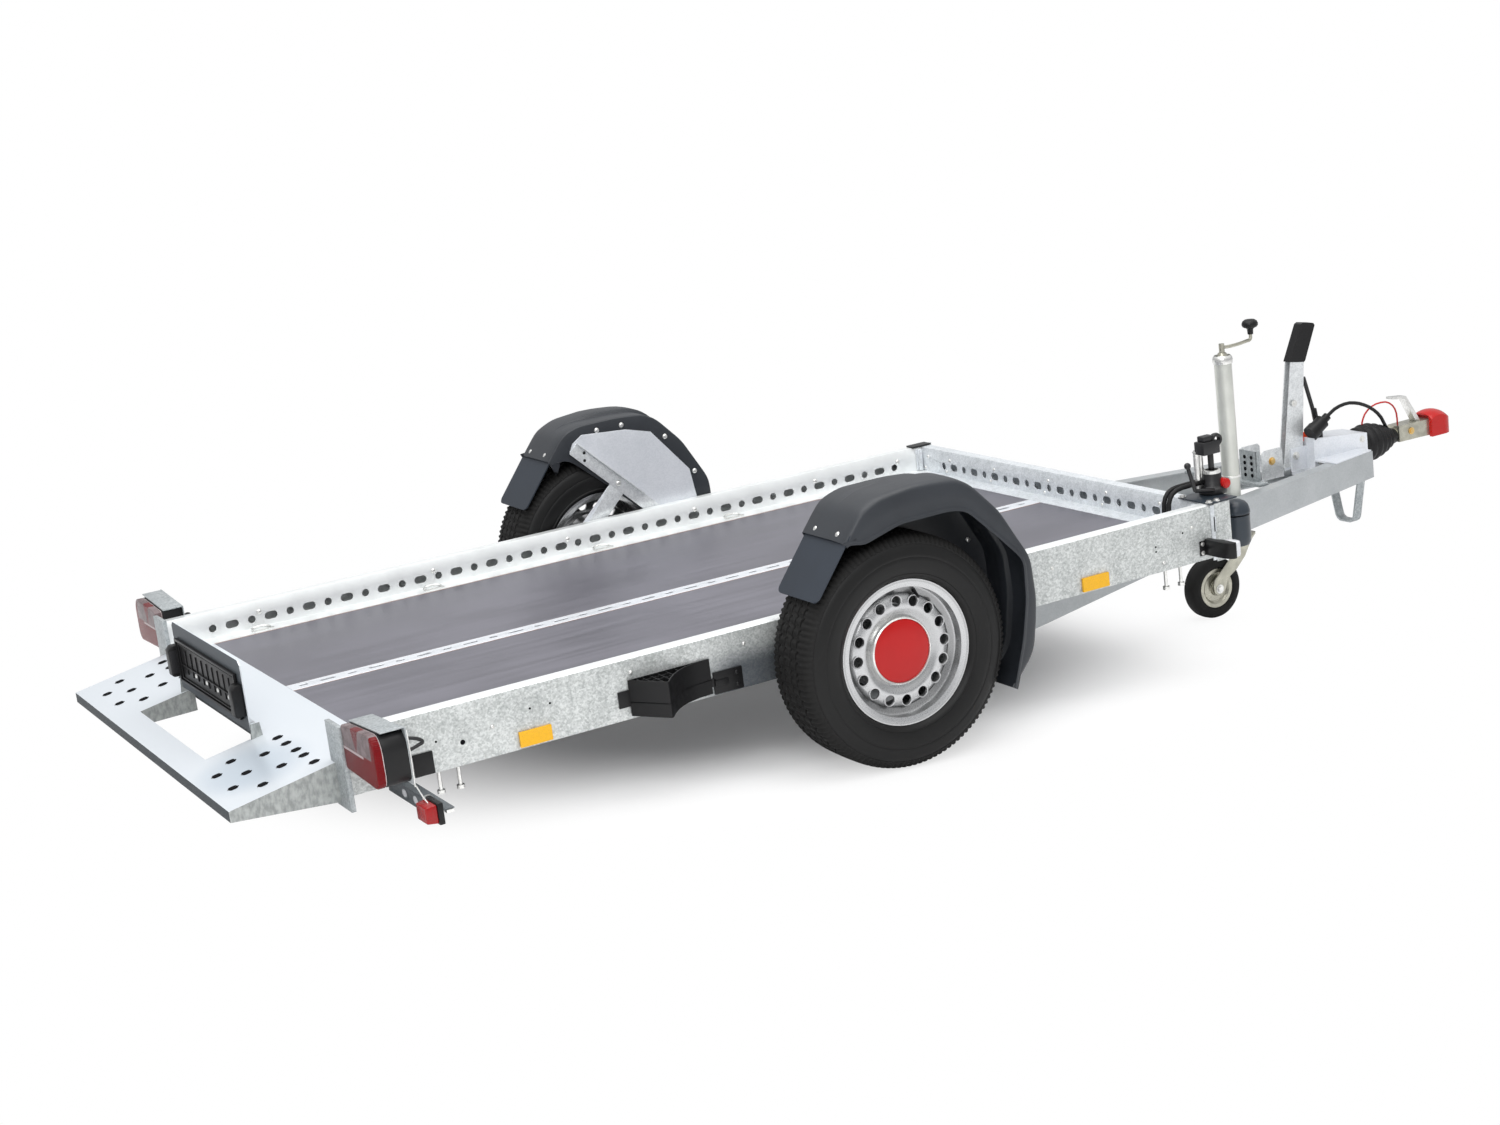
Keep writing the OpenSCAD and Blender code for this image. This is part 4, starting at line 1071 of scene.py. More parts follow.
@dataclass
class DeckFittings:
    """Bolts, corner plates, lashing rings, and dark discs painted as the shade in small holes of
    the deck and its rails.
    """

    finishes: Finishes
    rail_y: float = 785.0
    rail_top: float = 435.0
    deck_z: float = 355.0
    wall_y: float = 739.0
    ramp_z: float = 298.0
    ramp_bend: float = -1440.0
    ramp_rear: float = -1752.0
    slot_rows: tuple[tuple[float, tuple[float, ...]], ...] = (
        (-1695, (451, 582)), (-1640, (396, 521, 648)), (-1568, (451, 582)),
        (-1508, (378, 445, 520, 579, 655)))

    def rail_bolts(self) -> None:
        """Makes the small bolts on the rails' outer faces and along their top flange."""
        shape = Shape()
        y = self.rail_y
        for x, z in ((1120, 381), (1010, 300), (-1090, 352), (-700, 395), (-370, 392),
                     (620, 372), (300, 392)):
            shape.dome((x, y, z), (0, 1, 0), 5.5, 4)
        for x in (-1180, -620, -160, 300, 760, 1090):
            shape.dome((x, self.wall_y, self.rail_top - 32), (0, -1, 0), 8, 5)
        shape.both().piece("rail_bolts", "deck", self.finishes.bolt)

    def dark_holes(self) -> None:
        """Makes dark discs painted as the shade inside small holes in the rails' outer faces."""
        shape = Shape()
        y = self.rail_y
        for x, z, r in ((-1240, 352, 3), (-1172, 333, 6.5), (-985, 372, 3), (-930, 372, 3),
                        (985, 352, 3), (985, 338, 3), (1085, 372, 3)):
            shape.rod((x, y - 1, z), (x, y + 0.35, z), r, 20)
        shape.both().piece("rail_holes", "deck", self.finishes.hollow)

    def lashing_rings(self) -> None:
        """Makes the small bowed lashing rings that lie on the ledges."""
        shape = Shape()
        y = 706
        for x in (-1190, -640, -60, 420, 960):
            shape.bend([(x - 26, y - 10, self.deck_z + 1), (x - 26, y + 12, self.deck_z + 5),
                        (x, y + 20, self.deck_z + 8), (x + 26, y + 12, self.deck_z + 5),
                        (x + 26, y - 10, self.deck_z + 1)], 3, 3)
            shape.box((x - 34, y - 14, self.deck_z + 1), (x + 34, y - 6, self.deck_z + 5))
        shape.both().piece("lashing_rings", "deck", self.finishes.bolt)

    def ramp_slots(self) -> None:
        """Makes dark round-ended discs painted as the shade inside the ramp's drain holes."""
        shape = Shape()
        slope = (self.deck_z - self.ramp_z) / (self.ramp_bend - self.ramp_rear)
        for x, places in self.slot_rows:
            z = self.deck_z + (x - self.ramp_bend) * slope + 0.25
            for y in places:
                rim = [(squared(math.cos(t)) * 11.5, squared(math.sin(t)) * 13)
                       for t in (i * math.tau / 32 for i in range(32))]
                shape.prism([(x + a, y + b, z + a * slope) for a, b in rim], (0, 0, 0.35))
        shape.both().piece("ramp_slots", "deck", self.finishes.hollow)

    def corners(self) -> None:
        """Makes the folded joints in the load space's front corners and the dark cap on one."""
        shape, cap = Shape(), Shape()
        shape.box((1170, 722, self.deck_z + 3), (1182, 738.5, self.rail_top - 3))
        shape.box((1164, 733, self.deck_z + 3), (1172, 738.5, self.rail_top - 3))
        shape.both().piece("corner_joints", "deck", self.finishes.wall, bevel=1.5)
        cap.box((1158, 741, self.rail_top), (1233, 784, self.rail_top + 6))
        cap.piece("corner_cap", "deck", self.finishes.black, bevel=2)

    def board_bolts(self) -> None:
        """Makes the bolts of the front board."""
        shape = Shape()
        for y in (-690, -560, -300, 0, 300, 560, 690):
            shape.dome((1185, y, 408), (-1, 0, 0), 6, 4)
            shape.dome((1185, y + 24, 368), (-1, 0, 0), 5, 4)
        shape.piece("board_bolts", "deck", self.finishes.bolt)

    def build(self) -> None:
        """Builds all fittings."""
        self.rail_bolts()
        self.dark_holes()
        self.lashing_rings()
        self.ramp_slots()
        self.corners()
        self.board_bolts()


@dataclass
class PlateHolder:
    """The number plate's moulded holder and its two lamps, on the folding flap."""

    finishes: Finishes
    back_x: float = -1552.0
    low: float = 378.0
    high: float = 500.0
    half: float = 260.0

    def holder(self) -> None:
        """Makes the holder: a back, two frames and its upright ribs."""
        shape, bolts = Shape(), Shape()
        x, z0, z1, y = self.back_x, self.low, self.high, self.half
        shape.box((x - 3, -y, z0), (x, y, z1))
        for inset, depth, wide in ((0, 10, 7), (16, 7, 3)):
            a, b, c = y - inset, z0 + inset * 0.7, z1 - inset * 0.7
            shape.box((x - depth, -a, b), (x - 2, a, b + wide))
            shape.box((x - depth, -a, c - wide), (x - 2, a, c))
            for side in (-1, 1):
                shape.box((x - depth, side * a - wide / 2, b), (x - 2, side * a + wide / 2, c))
        for k in range(-4, 5):
            shape.box((x - 6, k * 48 - 1.5, z0 + 30), (x - 2, k * 48 + 1.5, z1 - 24))
        shape.box((x - 8, -y + 30, z0 + 52), (x - 2, y - 30, z0 + 55))
        for k in (-3.5, -1.5, 0.5, 2.5):
            bolts.dome((x - 3, k * 48, z0 + 40), (-1, 0, 0), 7, 3)
        shape.piece("plate_frame", "flap", self.finishes.moulding, ["plate_holder"], 0.8)
        bolts.piece("plate_bolts", "flap", self.finishes.bolt)

    def lamps(self) -> None:
        """Makes the two plate lamps with their clear windows."""
        shape, window = Shape(), Shape()
        shape.prism([(-1582, 264, 396), (-1576, 262, 392), (-1552, 262, 392), (-1552, 262, 478),
                     (-1572, 262, 478), (-1582, 264, 466)], (0, 33, 0))
        shape.both().piece("plate_lamp_cases", "flap", self.finishes.moulding,
                           ["plate_lamps"], 2.5)
        window.box((-1580, 260.5, 402), (-1560, 262, 466))
        window.both().piece("plate_lamp_windows", "flap", self.finishes.plate, bevel=0.5)

    def build(self) -> None:
        """Builds the holder and its lamps."""
        self.holder()
        self.lamps()


@dataclass
class RearLamps:
    """The lamp clusters, their brackets and the side markers on their arms, painted dark as shade.
    """

    finishes: Finishes
    rail_y: float = 785.0
    rail_z: float = 262.0
    outline: tuple[Point, ...] = (
        (792, 353), (794, 349), (798, 348), (978, 341.2), (992, 342), (1002, 348), (1008, 358),
        (1010, 374), (1009, 424), (1007, 438), (1002, 451), (994, 461), (983, 468), (968, 470),
        (799, 459.8), (794, 458), (792, 454))

    def clusters(self) -> None:
        """Makes the housings and the lenses."""
        case, lens = Shape(), Shape()
        case.prism([(-1390, y, z) for y, z in self.outline], (-60, 0, 0))
        lens.prism([(-1450, y, z) for y, z in self.outline], (-23, 0, 0))
        case.both().piece("lamp_cases", "deck", self.finishes.moulding, ["lamp_housings"], 1.2)
        lens.both().piece("lamp_windows", "deck", self.finishes.lens, ["lamp_lenses"], 4)

    def brackets(self) -> None:
        """Makes the rail's end plates and the folded plates that carry the lamps."""
        y0, y1, z0 = self.rail_y, 1008, self.rail_z
        shape = Shape()
        shape.box((-1478, 694, z0 - 26), (-1466, y0 + 6, 451))
        shape.prism([(-1387, y0, 335), (-1387, y1, 335), (-1387, y1, 476), (-1387, y0, 462)],
                    (-3, 0, 0))
        shape.prism([(-1448, y0, 459), (-1448, 1000, 473), (-1448, 1000, 476), (-1448, y0, 462)],
                    (59, 0, 0))
        shape.both().piece("lamp_brackets", "deck", self.finishes.post, ["corner_posts"], 0.8)
        edge = Shape()
        edge.bend([(-1386, y1, 330), (-1385.5, y1 + 1, 400), (-1386, y1, 470)], 1.6, 3)
        edge.bend([(-1384, y1, 332), (-1372, y1 + 18, 296), (-1356, y1 + 40, 262)], 1.8, 3)
        edge.both().piece("lamp_edges", "deck", self.finishes.bolt)

    def arms(self) -> None:
        """Makes the pressed arms under the rail, painted dark as the shade on their rear face, with
        their holes, and the plates.
        """
        slate, hole, bolt = Shape(), Shape(), Shape()
        slate.prism([(-1348, 700, 236), (-1348, 1030, 236), (-1348, 1042, 246),
                     (-1348, 1042, 275), (-1348, 700, 275)], (3, 0, 0))
        slate.box((-1348, 700, 273), (-1318, 1062, 275.6))
        slate.both().piece("marker_arms", "deck", self.finishes.slate, bevel=0.6)
        for y in (812, 884):
            hole.prism([(-1348.6, y + 14 * math.cos(t), 256 + 10 * math.sin(t))
                        for t in (i * math.tau / 24 for i in range(24))], (0.5, 0, 0))
        hole.both().piece("arm_holes", "deck", self.finishes.clear)
        bolt.bolt((-1340, 948, 275), (0, 0, 1), 9, 6)
        bolt.box((-1340, 1050, 266), (-1322, 1066, 273))
        bolt.both().piece("arm_bolts", "deck", self.finishes.bolt)
        plate = Shape()
        plate.box((-1306, self.rail_y, 277), (-1254, self.rail_y + 5, 334))
        plate.both().piece("rail_plates", "deck", self.finishes.moulding, bevel=1.2)

    def hooks(self) -> None:
        """Makes the bent black bars behind each lamp."""
        shape, y = Shape(), 800
        shape.bend([(-1386, y + 14, 424), (-1368, y + 14, 428), (-1362, y + 14, 410),
                    (-1290, y + 14, 378), (-1284, y + 14, 370), (-1292, y + 14, 366),
                    (-1356, y + 14, 352), (-1386, y + 14, 350)], 4.5, 4)
        shape.bend([(-1356, y + 14, 404), (-1352, y + 14, 356)], 3.5, 4)
        shape.both().piece("rail_hooks", "deck", self.finishes.black)

    def markers(self) -> None:
        """Makes the red side markers on their black feet."""
        lens, foot = Shape(), Shape()
        lens.prism([(-1362, 996, 246), (-1362, 1065, 246), (-1362, 1065, 292),
                    (-1362, 996, 292)], (-20, 0, 0))
        front = [v for v in lens.bm.verts if v.co.x < -1370]
        bmesh.ops.scale(lens.bm, verts=front, vec=(1, 0.88, 0.86),
                        space=Matrix.Translation((0, -1031, -269)))
        for v in front:
            v.co.x -= 8
        foot.box((-1362, 992, 242), (-1347, 1069, 296))
        lens.both().piece("marker_glass", "deck", self.finishes.marker, ["rear_markers"], 3)
        foot.both().piece("marker_feet", "deck", self.finishes.moulding, bevel=3)

    def build(self) -> None:
        """Builds both sides."""
        self.clusters()
        self.brackets()
        self.arms()
        self.hooks()
        self.markers()


@dataclass
class RailFittings:
    """The wheel chocks in their clips and the front side markers."""

    finishes: Finishes
    rail_y: float = 785.0
    chock: tuple[Point, ...] = (
        (-714, 789), (-653, 887), (-649, 889), (-644, 886), (-625, 861), (-604, 838), (-582, 820),
        (-560, 807), (-520, 794), (-478, 789))
    ribs: tuple[tuple[Point, Point], ...] = (
        ((-690, 789), (-690, 822)), ((-674, 789), (-674, 848)), ((-652, 789), (-652, 882)),
        ((-630, 789), (-630, 866)), ((-606, 789), (-606, 838)), ((-580, 789), (-580, 817)),
        ((-550, 789), (-550, 801)), ((-714, 806), (-606, 806)), ((-674, 830), (-610, 830)))

    def chocks(self) -> None:
        """Makes the ribbed hollow chocks, their tabs and the clips that hold them."""
        wall, ribs = Shape(), Shape()
        wall.tray(self.chock, 283, 378, 322)
        wall.both().piece("chock_walls", "deck", self.finishes.moulding, ["chocks"],
                          thickness=3.5)
        for (x0, y0), (x1, y1) in self.ribs:
            if x0 == x1:
                ribs.box((x0 - 1.5, y0, 322), (x1 + 1.5, y1 - 3, 376))
            else:
                ribs.box((max(x0, -700), y0 - 1.5, 322), (x1, y1 + 1.5, 374))
        ribs.box((-745, self.rail_y, 309), (-706, self.rail_y + 5, 352))
        ribs.box((-478, self.rail_y, 300), (-466, self.rail_y + 5, 322))
        ribs.both().piece("chock_ribs", "deck", self.finishes.moulding, bevel=0.8)
        clip = Shape()
        y = self.rail_y
        clip.box((-472, y, 278), (-386, y + 5, 337))
        clip.box((-470, y + 5, 300), (-430, y + 9, 316))
        clip.dome((-404, y + 5, 292), (0, 1, 0), 6, 4)
        clip.dome((-404, y + 5, 324), (0, 1, 0), 6, 4)
        clip.both().piece("chock_clips", "deck", self.finishes.moulding, bevel=1.5)

    def front_markers(self) -> None:
        """Makes the white front markers on their bent arms."""
        arm, lens, bolts, y = Shape(), Shape(), Shape(), self.rail_y
        plan = [(1160, y + 2), (1182, y + 2), (1182, 812), (1184, 822), (1190, 832), (1190, 893),
                (1186, 897), (1178, 897), (1168, 888), (1162, 870), (1160, 840)]
        arm.prism([(a, b, 291) for a, b in plan], (0, 0, 47))
        arm.box((1142, y, 290), (1187, y + 4, 334))
        arm.both().piece("marker_bodies", "deck", self.finishes.moulding, ["front_markers"], 2)
        glass = [(1190, 834), (1203, 836), (1212, 844), (1217, 856), (1217, 872), (1212, 884),
                 (1203, 891), (1190, 893)]
        lens.prism([(a, b, 293) for a, b in glass], (0, 0, 43))
        lens.both().piece("marker_windows", "deck", self.finishes.clear, ["marker_lenses"], 3)
        for z in (299, 325):
            bolts.bolt((1151, y + 4, z), (0, 1, 0), 5, 4)
        bolts.both().piece("marker_bolts", "deck", self.finishes.bolt)

    def corner_plates(self) -> None:
        """Makes the plates over the rails' front ends, with a slot and holes drawn as dark pieces
        of painted shade.
        """
        plate, dark, y = Shape(), Shape(), self.rail_y
        plate.box((1190, y, 267), (1234.5, y + 2.5, 431))
        plate.both().piece("rail_ends", "deck", self.finishes.wall, bevel=1)
        # Painted shade: the slot and holes are near-black pieces on the plate's face.
        dark.box((1200, y + 2, 352), (1204, y + 2.9, 396))
        for x, z, r in ((1216, 414, 4), (1216, 280, 4), (1222, 300, 7)):
            dark.rod((x, y + 1, z), (x, y + 2.9, z), r, 20)
        dark.both().piece("rail_end_holes", "deck", self.finishes.moulding)

    def build(self) -> None:
        """Builds both sides."""
        self.chocks()
        self.front_markers()
        self.corner_plates()


@dataclass
class HandPump:
    """The lifting cylinder's hand pump on its plate, with the oil tank in front."""

    finishes: Finishes
    spot: tuple[float, float] = (1281.0, -694.0)
    top: float = 440.0

    def body(self) -> None:
        """Makes the pump's body, its head block and its plate."""
        x, y = self.spot
        z = self.top
        plate, body = Shape(), Shape()
        plate.box((1184, -790, z - 5), (1290, -650, z))
        plate.piece("pump_base", "deck", self.finishes.tank, ["pump_plate"], 1.5)
        body.lathe([(0.01, 0), (42, 0), (42, 16), (40, 20), (33, 22), (31, 36), (28, 42),
                    (28, 60), (0.01, 60)], (x, y, z), 64, axis=(0, 0, 1))
        body.rod((x, y, z + 68), (x, y, z + 130), 9, 32)
        body.box((1232, -726, z + 122), (1294, -682, z + 160))
        body.box((1240, -718, z + 160), (1280, -688, z + 176))
        body.rod((1262, -724, z + 14), (1183, -735, z + 30), 6, 20)
        body.rod((1183, -735, z + 28), (1161, -735, z + 106), 6, 20)
        body.ball((1161, -735, z + 108), 10)
        body.piece("pump_body", "deck", self.finishes.black, ["pump"], 3)
        eye = Shape()
        eye.lathe([(14, -9), (18, -8), (20, 0), (18, 8), (14, 9), (11, 8), (11, -8)],
                  (1290, -712, z + 160), 40, closed=True)
        eye.piece("pump_eye", "deck", self.finishes.black)

    def bright_parts(self) -> None:
        """Makes the pump's ring, its rods, its bolts and the red valve knob."""
        x, y = self.spot
        z = self.top
        bright, knob = Shape(), Shape()
        bright.lathe([(20, 59), (26, 60), (26, 69), (20, 70)], (x, y, z), 48, axis=(0, 0, 1))
        for dx, dy in ((-42, 14), (-18, 26)):
            bright.rod((x + dx, y + dy, z + 8), (x + dx, y + dy, z + 128), 9, 24)
            bright.bolt((x + dx, y + dy, z + 128), (0, 0, 1), 8, 6)
        for dx, dy in ((-88, -86), (-88, 34), (-60, -86)):
            bright.bolt((x + dx, y + dy, z), (0, 0, 1), 8, 6)
        bright.piece("pump_rods", "deck", self.finishes.bolt)
        knob.rod((x + 20, -712, z + 29), (x + 20, -735, z + 29), 16.5, 10, 15.5)
        knob.rod((x + 20, -735, z + 29), (x + 20, -738, z + 29), 12, 24)
        knob.piece("pump_knob", "deck", self.finishes.red, bevel=1.5)

    def tank(self) -> None:
        """Makes the tank with its domed ends, lid and bracket."""
        shape, lid = Shape(), Shape()
        shape.lathe([(0.01, 268), (24, 268), (35, 272), (40, 281), (41, 300), (41, 362),
                     (0.01, 362)], (1345, -712, 0), 64, axis=(0, 0, 1))
        shape.box((1235, -724, 300), (1312, -700, 360))
        shape.piece("oil_tank", "deck", self.finishes.tank, ["tank"], smooth=35)
        lid.lathe([(0.01, 366), (42.5, 367), (43, 370), (42.5, 374), (41, 380), (37, 392),
                   (29, 401), (17, 407), (0.01, 410)], (1345, -712, 0), 64, axis=(0, 0, 1))
        lid.piece("tank_lid", "deck", self.finishes.tank, smooth=50)

    def build(self) -> None:
        """Builds the pump set."""
        self.body()
        self.bright_parts()
        self.tank()


@dataclass
class JockeyLeg:
    """The jockey wheel's pressed fork, its crank with the knob, and its collars."""

    finishes: Finishes
    hub: tuple[float, float] = (1644.0, -12.6)
    tube_x: float = 1755.0
    tube_y: float = -203.6
    half: float = 38.0
    cheek: tuple[Point, ...] = (
        (81, 157), (163, 157), (162, 149), (142, 131), (113, 85), (73, 48), (38, 28), (24, -4),
        (14, -20), (-8, -22), (-22, -9), (-24, 12), (-19, 32), (52, 90))
    back: tuple[Point, ...] = (
        (163, 157), (162, 149), (142, 131), (113, 85), (96, 68), (96, 72), (110, 88), (139, 133),
        (158, 152), (81, 152), (81, 157))

    def fork(self) -> None:
        """Makes the fork: two cheeks, the crown and web between them, and the bolt."""
        x, z = self.hub
        shape = Shape()
        for side in (-1, 1):
            y = self.tube_y + side * self.half
            shape.prism([(x + a, y - 2, z + b) for a, b in self.cheek], (0, 4, 0))
        shape.prism([(x + a, self.tube_y - self.half, z + b) for a, b in self.back],
                    (0, 2 * self.half, 0))
        shape.piece("fork_sheet", "jockey_swivel", self.finishes.plated, ["jockey_fork"], 1.6)
        bolt = Shape()
        bolt.rod((x, self.tube_y - 46, z), (x, self.tube_y + 46, z), 8, 24)
        for side in (-1, 1):
            bolt.bolt((x, self.tube_y + side * (self.half + 2), z), (0, side, 0), 11, 8)
        bolt.piece("fork_bolt", "jockey_swivel", self.finishes.bolt)

    def crank(self) -> None:
        """Makes the crank's hub and arm, and its black mushroom knob."""
        x, y = self.tube_x, self.tube_y
        shape = Shape()
        shape.rod((x, y, 726), (x, y, 764), 9, 32)
        shape.rod((x, y, 726), (x, y, 735), 17, 32, 13)
        shape.bend([(x, y, 752), (x + 30, y, 750), (x + 104, y, 755), (x + 118, y, 758),
                    (x + 121, y, 772), (x + 121, y, 786)], 5.5, 5)
        shape.piece("crank_arm", "chassis", self.finishes.plated, ["crank"], smooth=50)
        knob = Shape()
        knob.lathe([(0.01, 774), (9, 774), (10, 790), (14, 794), (22, 797), (26, 803), (26, 809),
                    (23, 816), (16, 821), (0.01, 823)], (x + 121, y, 0), 48, axis=(0, 0, 1))
        knob.piece("crank_knob", "chassis", self.finishes.moulding, smooth=60)

    def collars(self) -> None:
        """Makes the tube's collar, its grease nipple and the clamp's handle."""
        x, y = self.tube_x, self.tube_y
        shape = Shape()
        shape.lathe([(28, 700), (31, 701), (32, 706), (32, 716), (30, 722), (26, 727)],
                    (x, y, 0), 48, axis=(0, 0, 1))
        shape.lathe([(28, 330), (30.5, 331), (30.5, 337), (28, 338)], (x, y, 0), 48,
                    axis=(0, 0, 1))
        shape.bolt((x - 10, y - 34, 222), (0, -1, 0), 9, 7)
        shape.rod((x + 30, y - 10, 236), (x + 64, y - 26, 240), 6, 20)
        shape.piece("tube_collars", "chassis", self.finishes.bolt)

    def build(self) -> None:
        """Builds the leg's own pieces."""
        self.fork()
        self.crank()
        self.collars()


@dataclass
class CouplingParts:
    """The folded bellows, the housing's bolts and the coupling's small parts."""

    finishes: Finishes
    shaft_z: float = 269.0
    folds: tuple[Point, ...] = (
        (0, 54), (6, 59), (13, 61), (20, 56), (26, 57), (33, 65), (41, 66), (48, 60), (54, 60),
        (61, 66), (69, 65), (76, 57), (82, 55), (89, 60), (97, 58), (103, 49), (108, 46),
        (115, 51), (122, 49), (128, 40), (133, 37), (139, 41), (146, 38), (152, 31), (158, 28),
        (176, 27))

    def bellows(self) -> None:
        """Makes the rubber bellows over the shaft."""
        shape = Shape()
        line = [(21, 0)] + [(r, d) for d, r in self.folds] + [(21, 176)]
        shape.lathe(line, (2475, 0, self.shaft_z), 64, axis=(1, 0, 0))
        made = shape.piece("shaft_bellows", "chassis", self.finishes.soft, ["bellows"], smooth=70)
        fine = made.modifiers.new("folds", "SUBSURF")
        fine.levels = fine.render_levels = 1

    def bolts(self) -> None:
        """Makes the housing's bolts and the gold screws."""
        steel, gold = Shape(), Shape()
        for x, z in ((2262, 262), (2452, 250), (2452, 302)):
            steel.bolt((x, -59, z), (0, -1, 0), 9, 6)
        steel.bolt((2196, -22, 470), (0, -1, 0), 8, 6)
        steel.bolt((2190, -22, 292), (0, -1, 0), 10, 7)
        steel.both().piece("housing_bolts", "chassis", self.finishes.bolt)
        gold.bolt((2052, -58, 305), (0, -1, 0), 10, 8)
        gold.bolt((2706, -31, 278), (0, -1, 0), 9, 6)
        gold.piece("gold_bolts", "chassis", self.finishes.brass)

    def lugs(self) -> None:
        """Makes the housing's rear lugs and the perforated bracket between the arms, its holes
        drawn as dark discs of painted shade.
        """
        lug, plate = Shape(), Shape()
        lug.prism([(x, 54, z) for x, z in ((2008, 244), (2011, 336), (2019, 345), (2090, 345),
                                           (2099, 336), (2101, 244))], (0, 4, 0))
        lug.both().piece("housing_lugs", "chassis", self.finishes.lever, bevel=0.8)
        plate.box((1880, -190, 266), (1920, 190, 278))
        plate.piece("arm_crossbar", "chassis", self.finishes.post, ["arm_bracket"], 1.5)
        upright = Shape()
        upright.box((1896, -163, 277), (1900, -84, 379))
        upright.box((1896, -163, 277), (1912, -160, 379))
        upright.box((1896, -87, 277), (1912, -84, 379))
        upright.piece("hole_plate", "chassis", self.finishes.post, bevel=0.8)
        # Painted shade: the bracket's holes are near-black discs on its face.
        holes = Shape()
        for y in (-140, -107):
            for z in (297, 317, 337, 357):
                holes.rod((1896.5, y, z), (1895.4, y, z), 6.5, 20)
        holes.piece("plate_holes", "chassis", self.finishes.hollow)

    def socket(self) -> None:
        """Makes the orange mouth under the plug's head."""
        shape = Shape()
        shape.prism(((2201, -11, 352), (2246, -11, 361), (2274, -11, 350), (2280, -11, 333), (2257, -11, 327), (2209, -11, 337)), (0, 22, 0))
        shape.piece("plug_mouth", "chassis", self.finishes.orange, bevel=2.5)

    def loop(self) -> None:
        """Makes the thick strap of the support loop under the arms."""
        line = [(-80, 180), (-46, 32), (-38, 20), (-24, 13), (24, 13), (38, 20), (46, 32),
                (80, 180)]
        inner = [(73, 180), (39, 36), (34, 27), (22, 21), (-22, 21), (-34, 27), (-39, 36),
                 (-73, 180)]
        shape = Shape()
        shape.prism([(2406, y, z) for y, z in line + inner], (34, 0, 0))
        shape.piece("loop_strap", "chassis", self.finishes.post, ["support_loop"], 1.5)

    def build(self) -> None:
        """Builds the coupling's own pieces."""
        self.bellows()
        self.bolts()
        self.lugs()
        self.loop()
        self.socket()


@dataclass
class NodeDresser:
    """Gives each CAD node its finish and rounds its sheet edges."""

    finishes: Finishes
    edge: float = 0.9
    rounded: dict[str, float] = field(default_factory=dict)

    def finish_of(self) -> dict[str, bpy.types.Material]:
        """Returns the finish of each node."""
        f = self.finishes
        groups: list[tuple[bpy.types.Material, str]] = [
            (f.rail, "rail_right rail_left"),
            (f.post, "axle cross_members corner_posts"),
            (f.wall, "front_board"),
            (f.frame, "drawbar_right drawbar_left"),
            (f.sheet, "centre_rail guard_supports overrun_housing"),
            (f.ramp, "ramp"),
            (f.flap_sheet, "plate_flap"),
            (f.lever, "handbrake_lever"),
            (f.post, "support_loop arm_bracket"),
            (f.tube, "jockey_tube"),
            (f.plated, "jockey_rim jockey_fork crank coupling_head pivot_shaft"),
            (f.bolt, "lashing_pegs coupling_handle"),
            (f.rim, "rim_right rim_left"),
            (f.black, "stub_arms brake_strut pump_plate pump"),
            (f.ply, "deck_panel_right deck_panel_left"),
            (f.guard, "mudguard_right mudguard_left"),
            (f.flap, "mud_flaps"),
            (f.tank, "tank"),
            (f.moulding, "lamp_housings plate_holder plate_lamps chocks front_markers plug "
                         "handbrake_grip"),
            (f.soft, "bellows hoses plug_lead"),
            (f.red, "coupling_cap breakaway_cable"),
            (f.tyre, "tyre_right tyre_left jockey_tyre"),
            (f.cap, "cap_right cap_left"),
            (f.lens, "lamp_lenses"),
            (f.marker, "rear_markers"),
            (f.amber, "reflectors"),
            (f.clear, "marker_lenses"),
        ]
        return {name: finish for finish, names in groups for name in names.split()}

    def soften(self, node: bpy.types.Object, width: float) -> None:
        """Welds a node's triangles and rounds its sharp edges with modifiers."""
        for name in ("custom_normal", "sharp_edge", "sharp_face"):
            found = node.data.attributes.get(name)
            if found is not None:
                node.data.attributes.remove(found)
        node.data.shade_smooth()
        weld = node.modifiers.new("weld", "WELD")
        weld.merge_threshold = 0.00002
        if width:
            round_edges = node.modifiers.new("edges", "BEVEL")
            round_edges.width = width * MM
            round_edges.segments = 2
            round_edges.limit_method = "ANGLE"
            round_edges.angle_limit = math.radians(38)
            round_edges.harden_normals = True
            round_edges.use_clamp_overlap = True

    def build(self) -> None:
        """Dresses every node."""
        finishes = self.finish_of()
        for name, node in frame["nodes"].items():
            finish = finishes.get(name, self.finishes.rail)
            if name not in finishes:
                LOG.warning("node %s has no finish of its own", name)
            node.data.materials.clear()
            node.data.materials.append(finish)
            self.soften(node, self.rounded.get(name, self.edge))
            LOG.info("node %s: %s", name, finish.name)


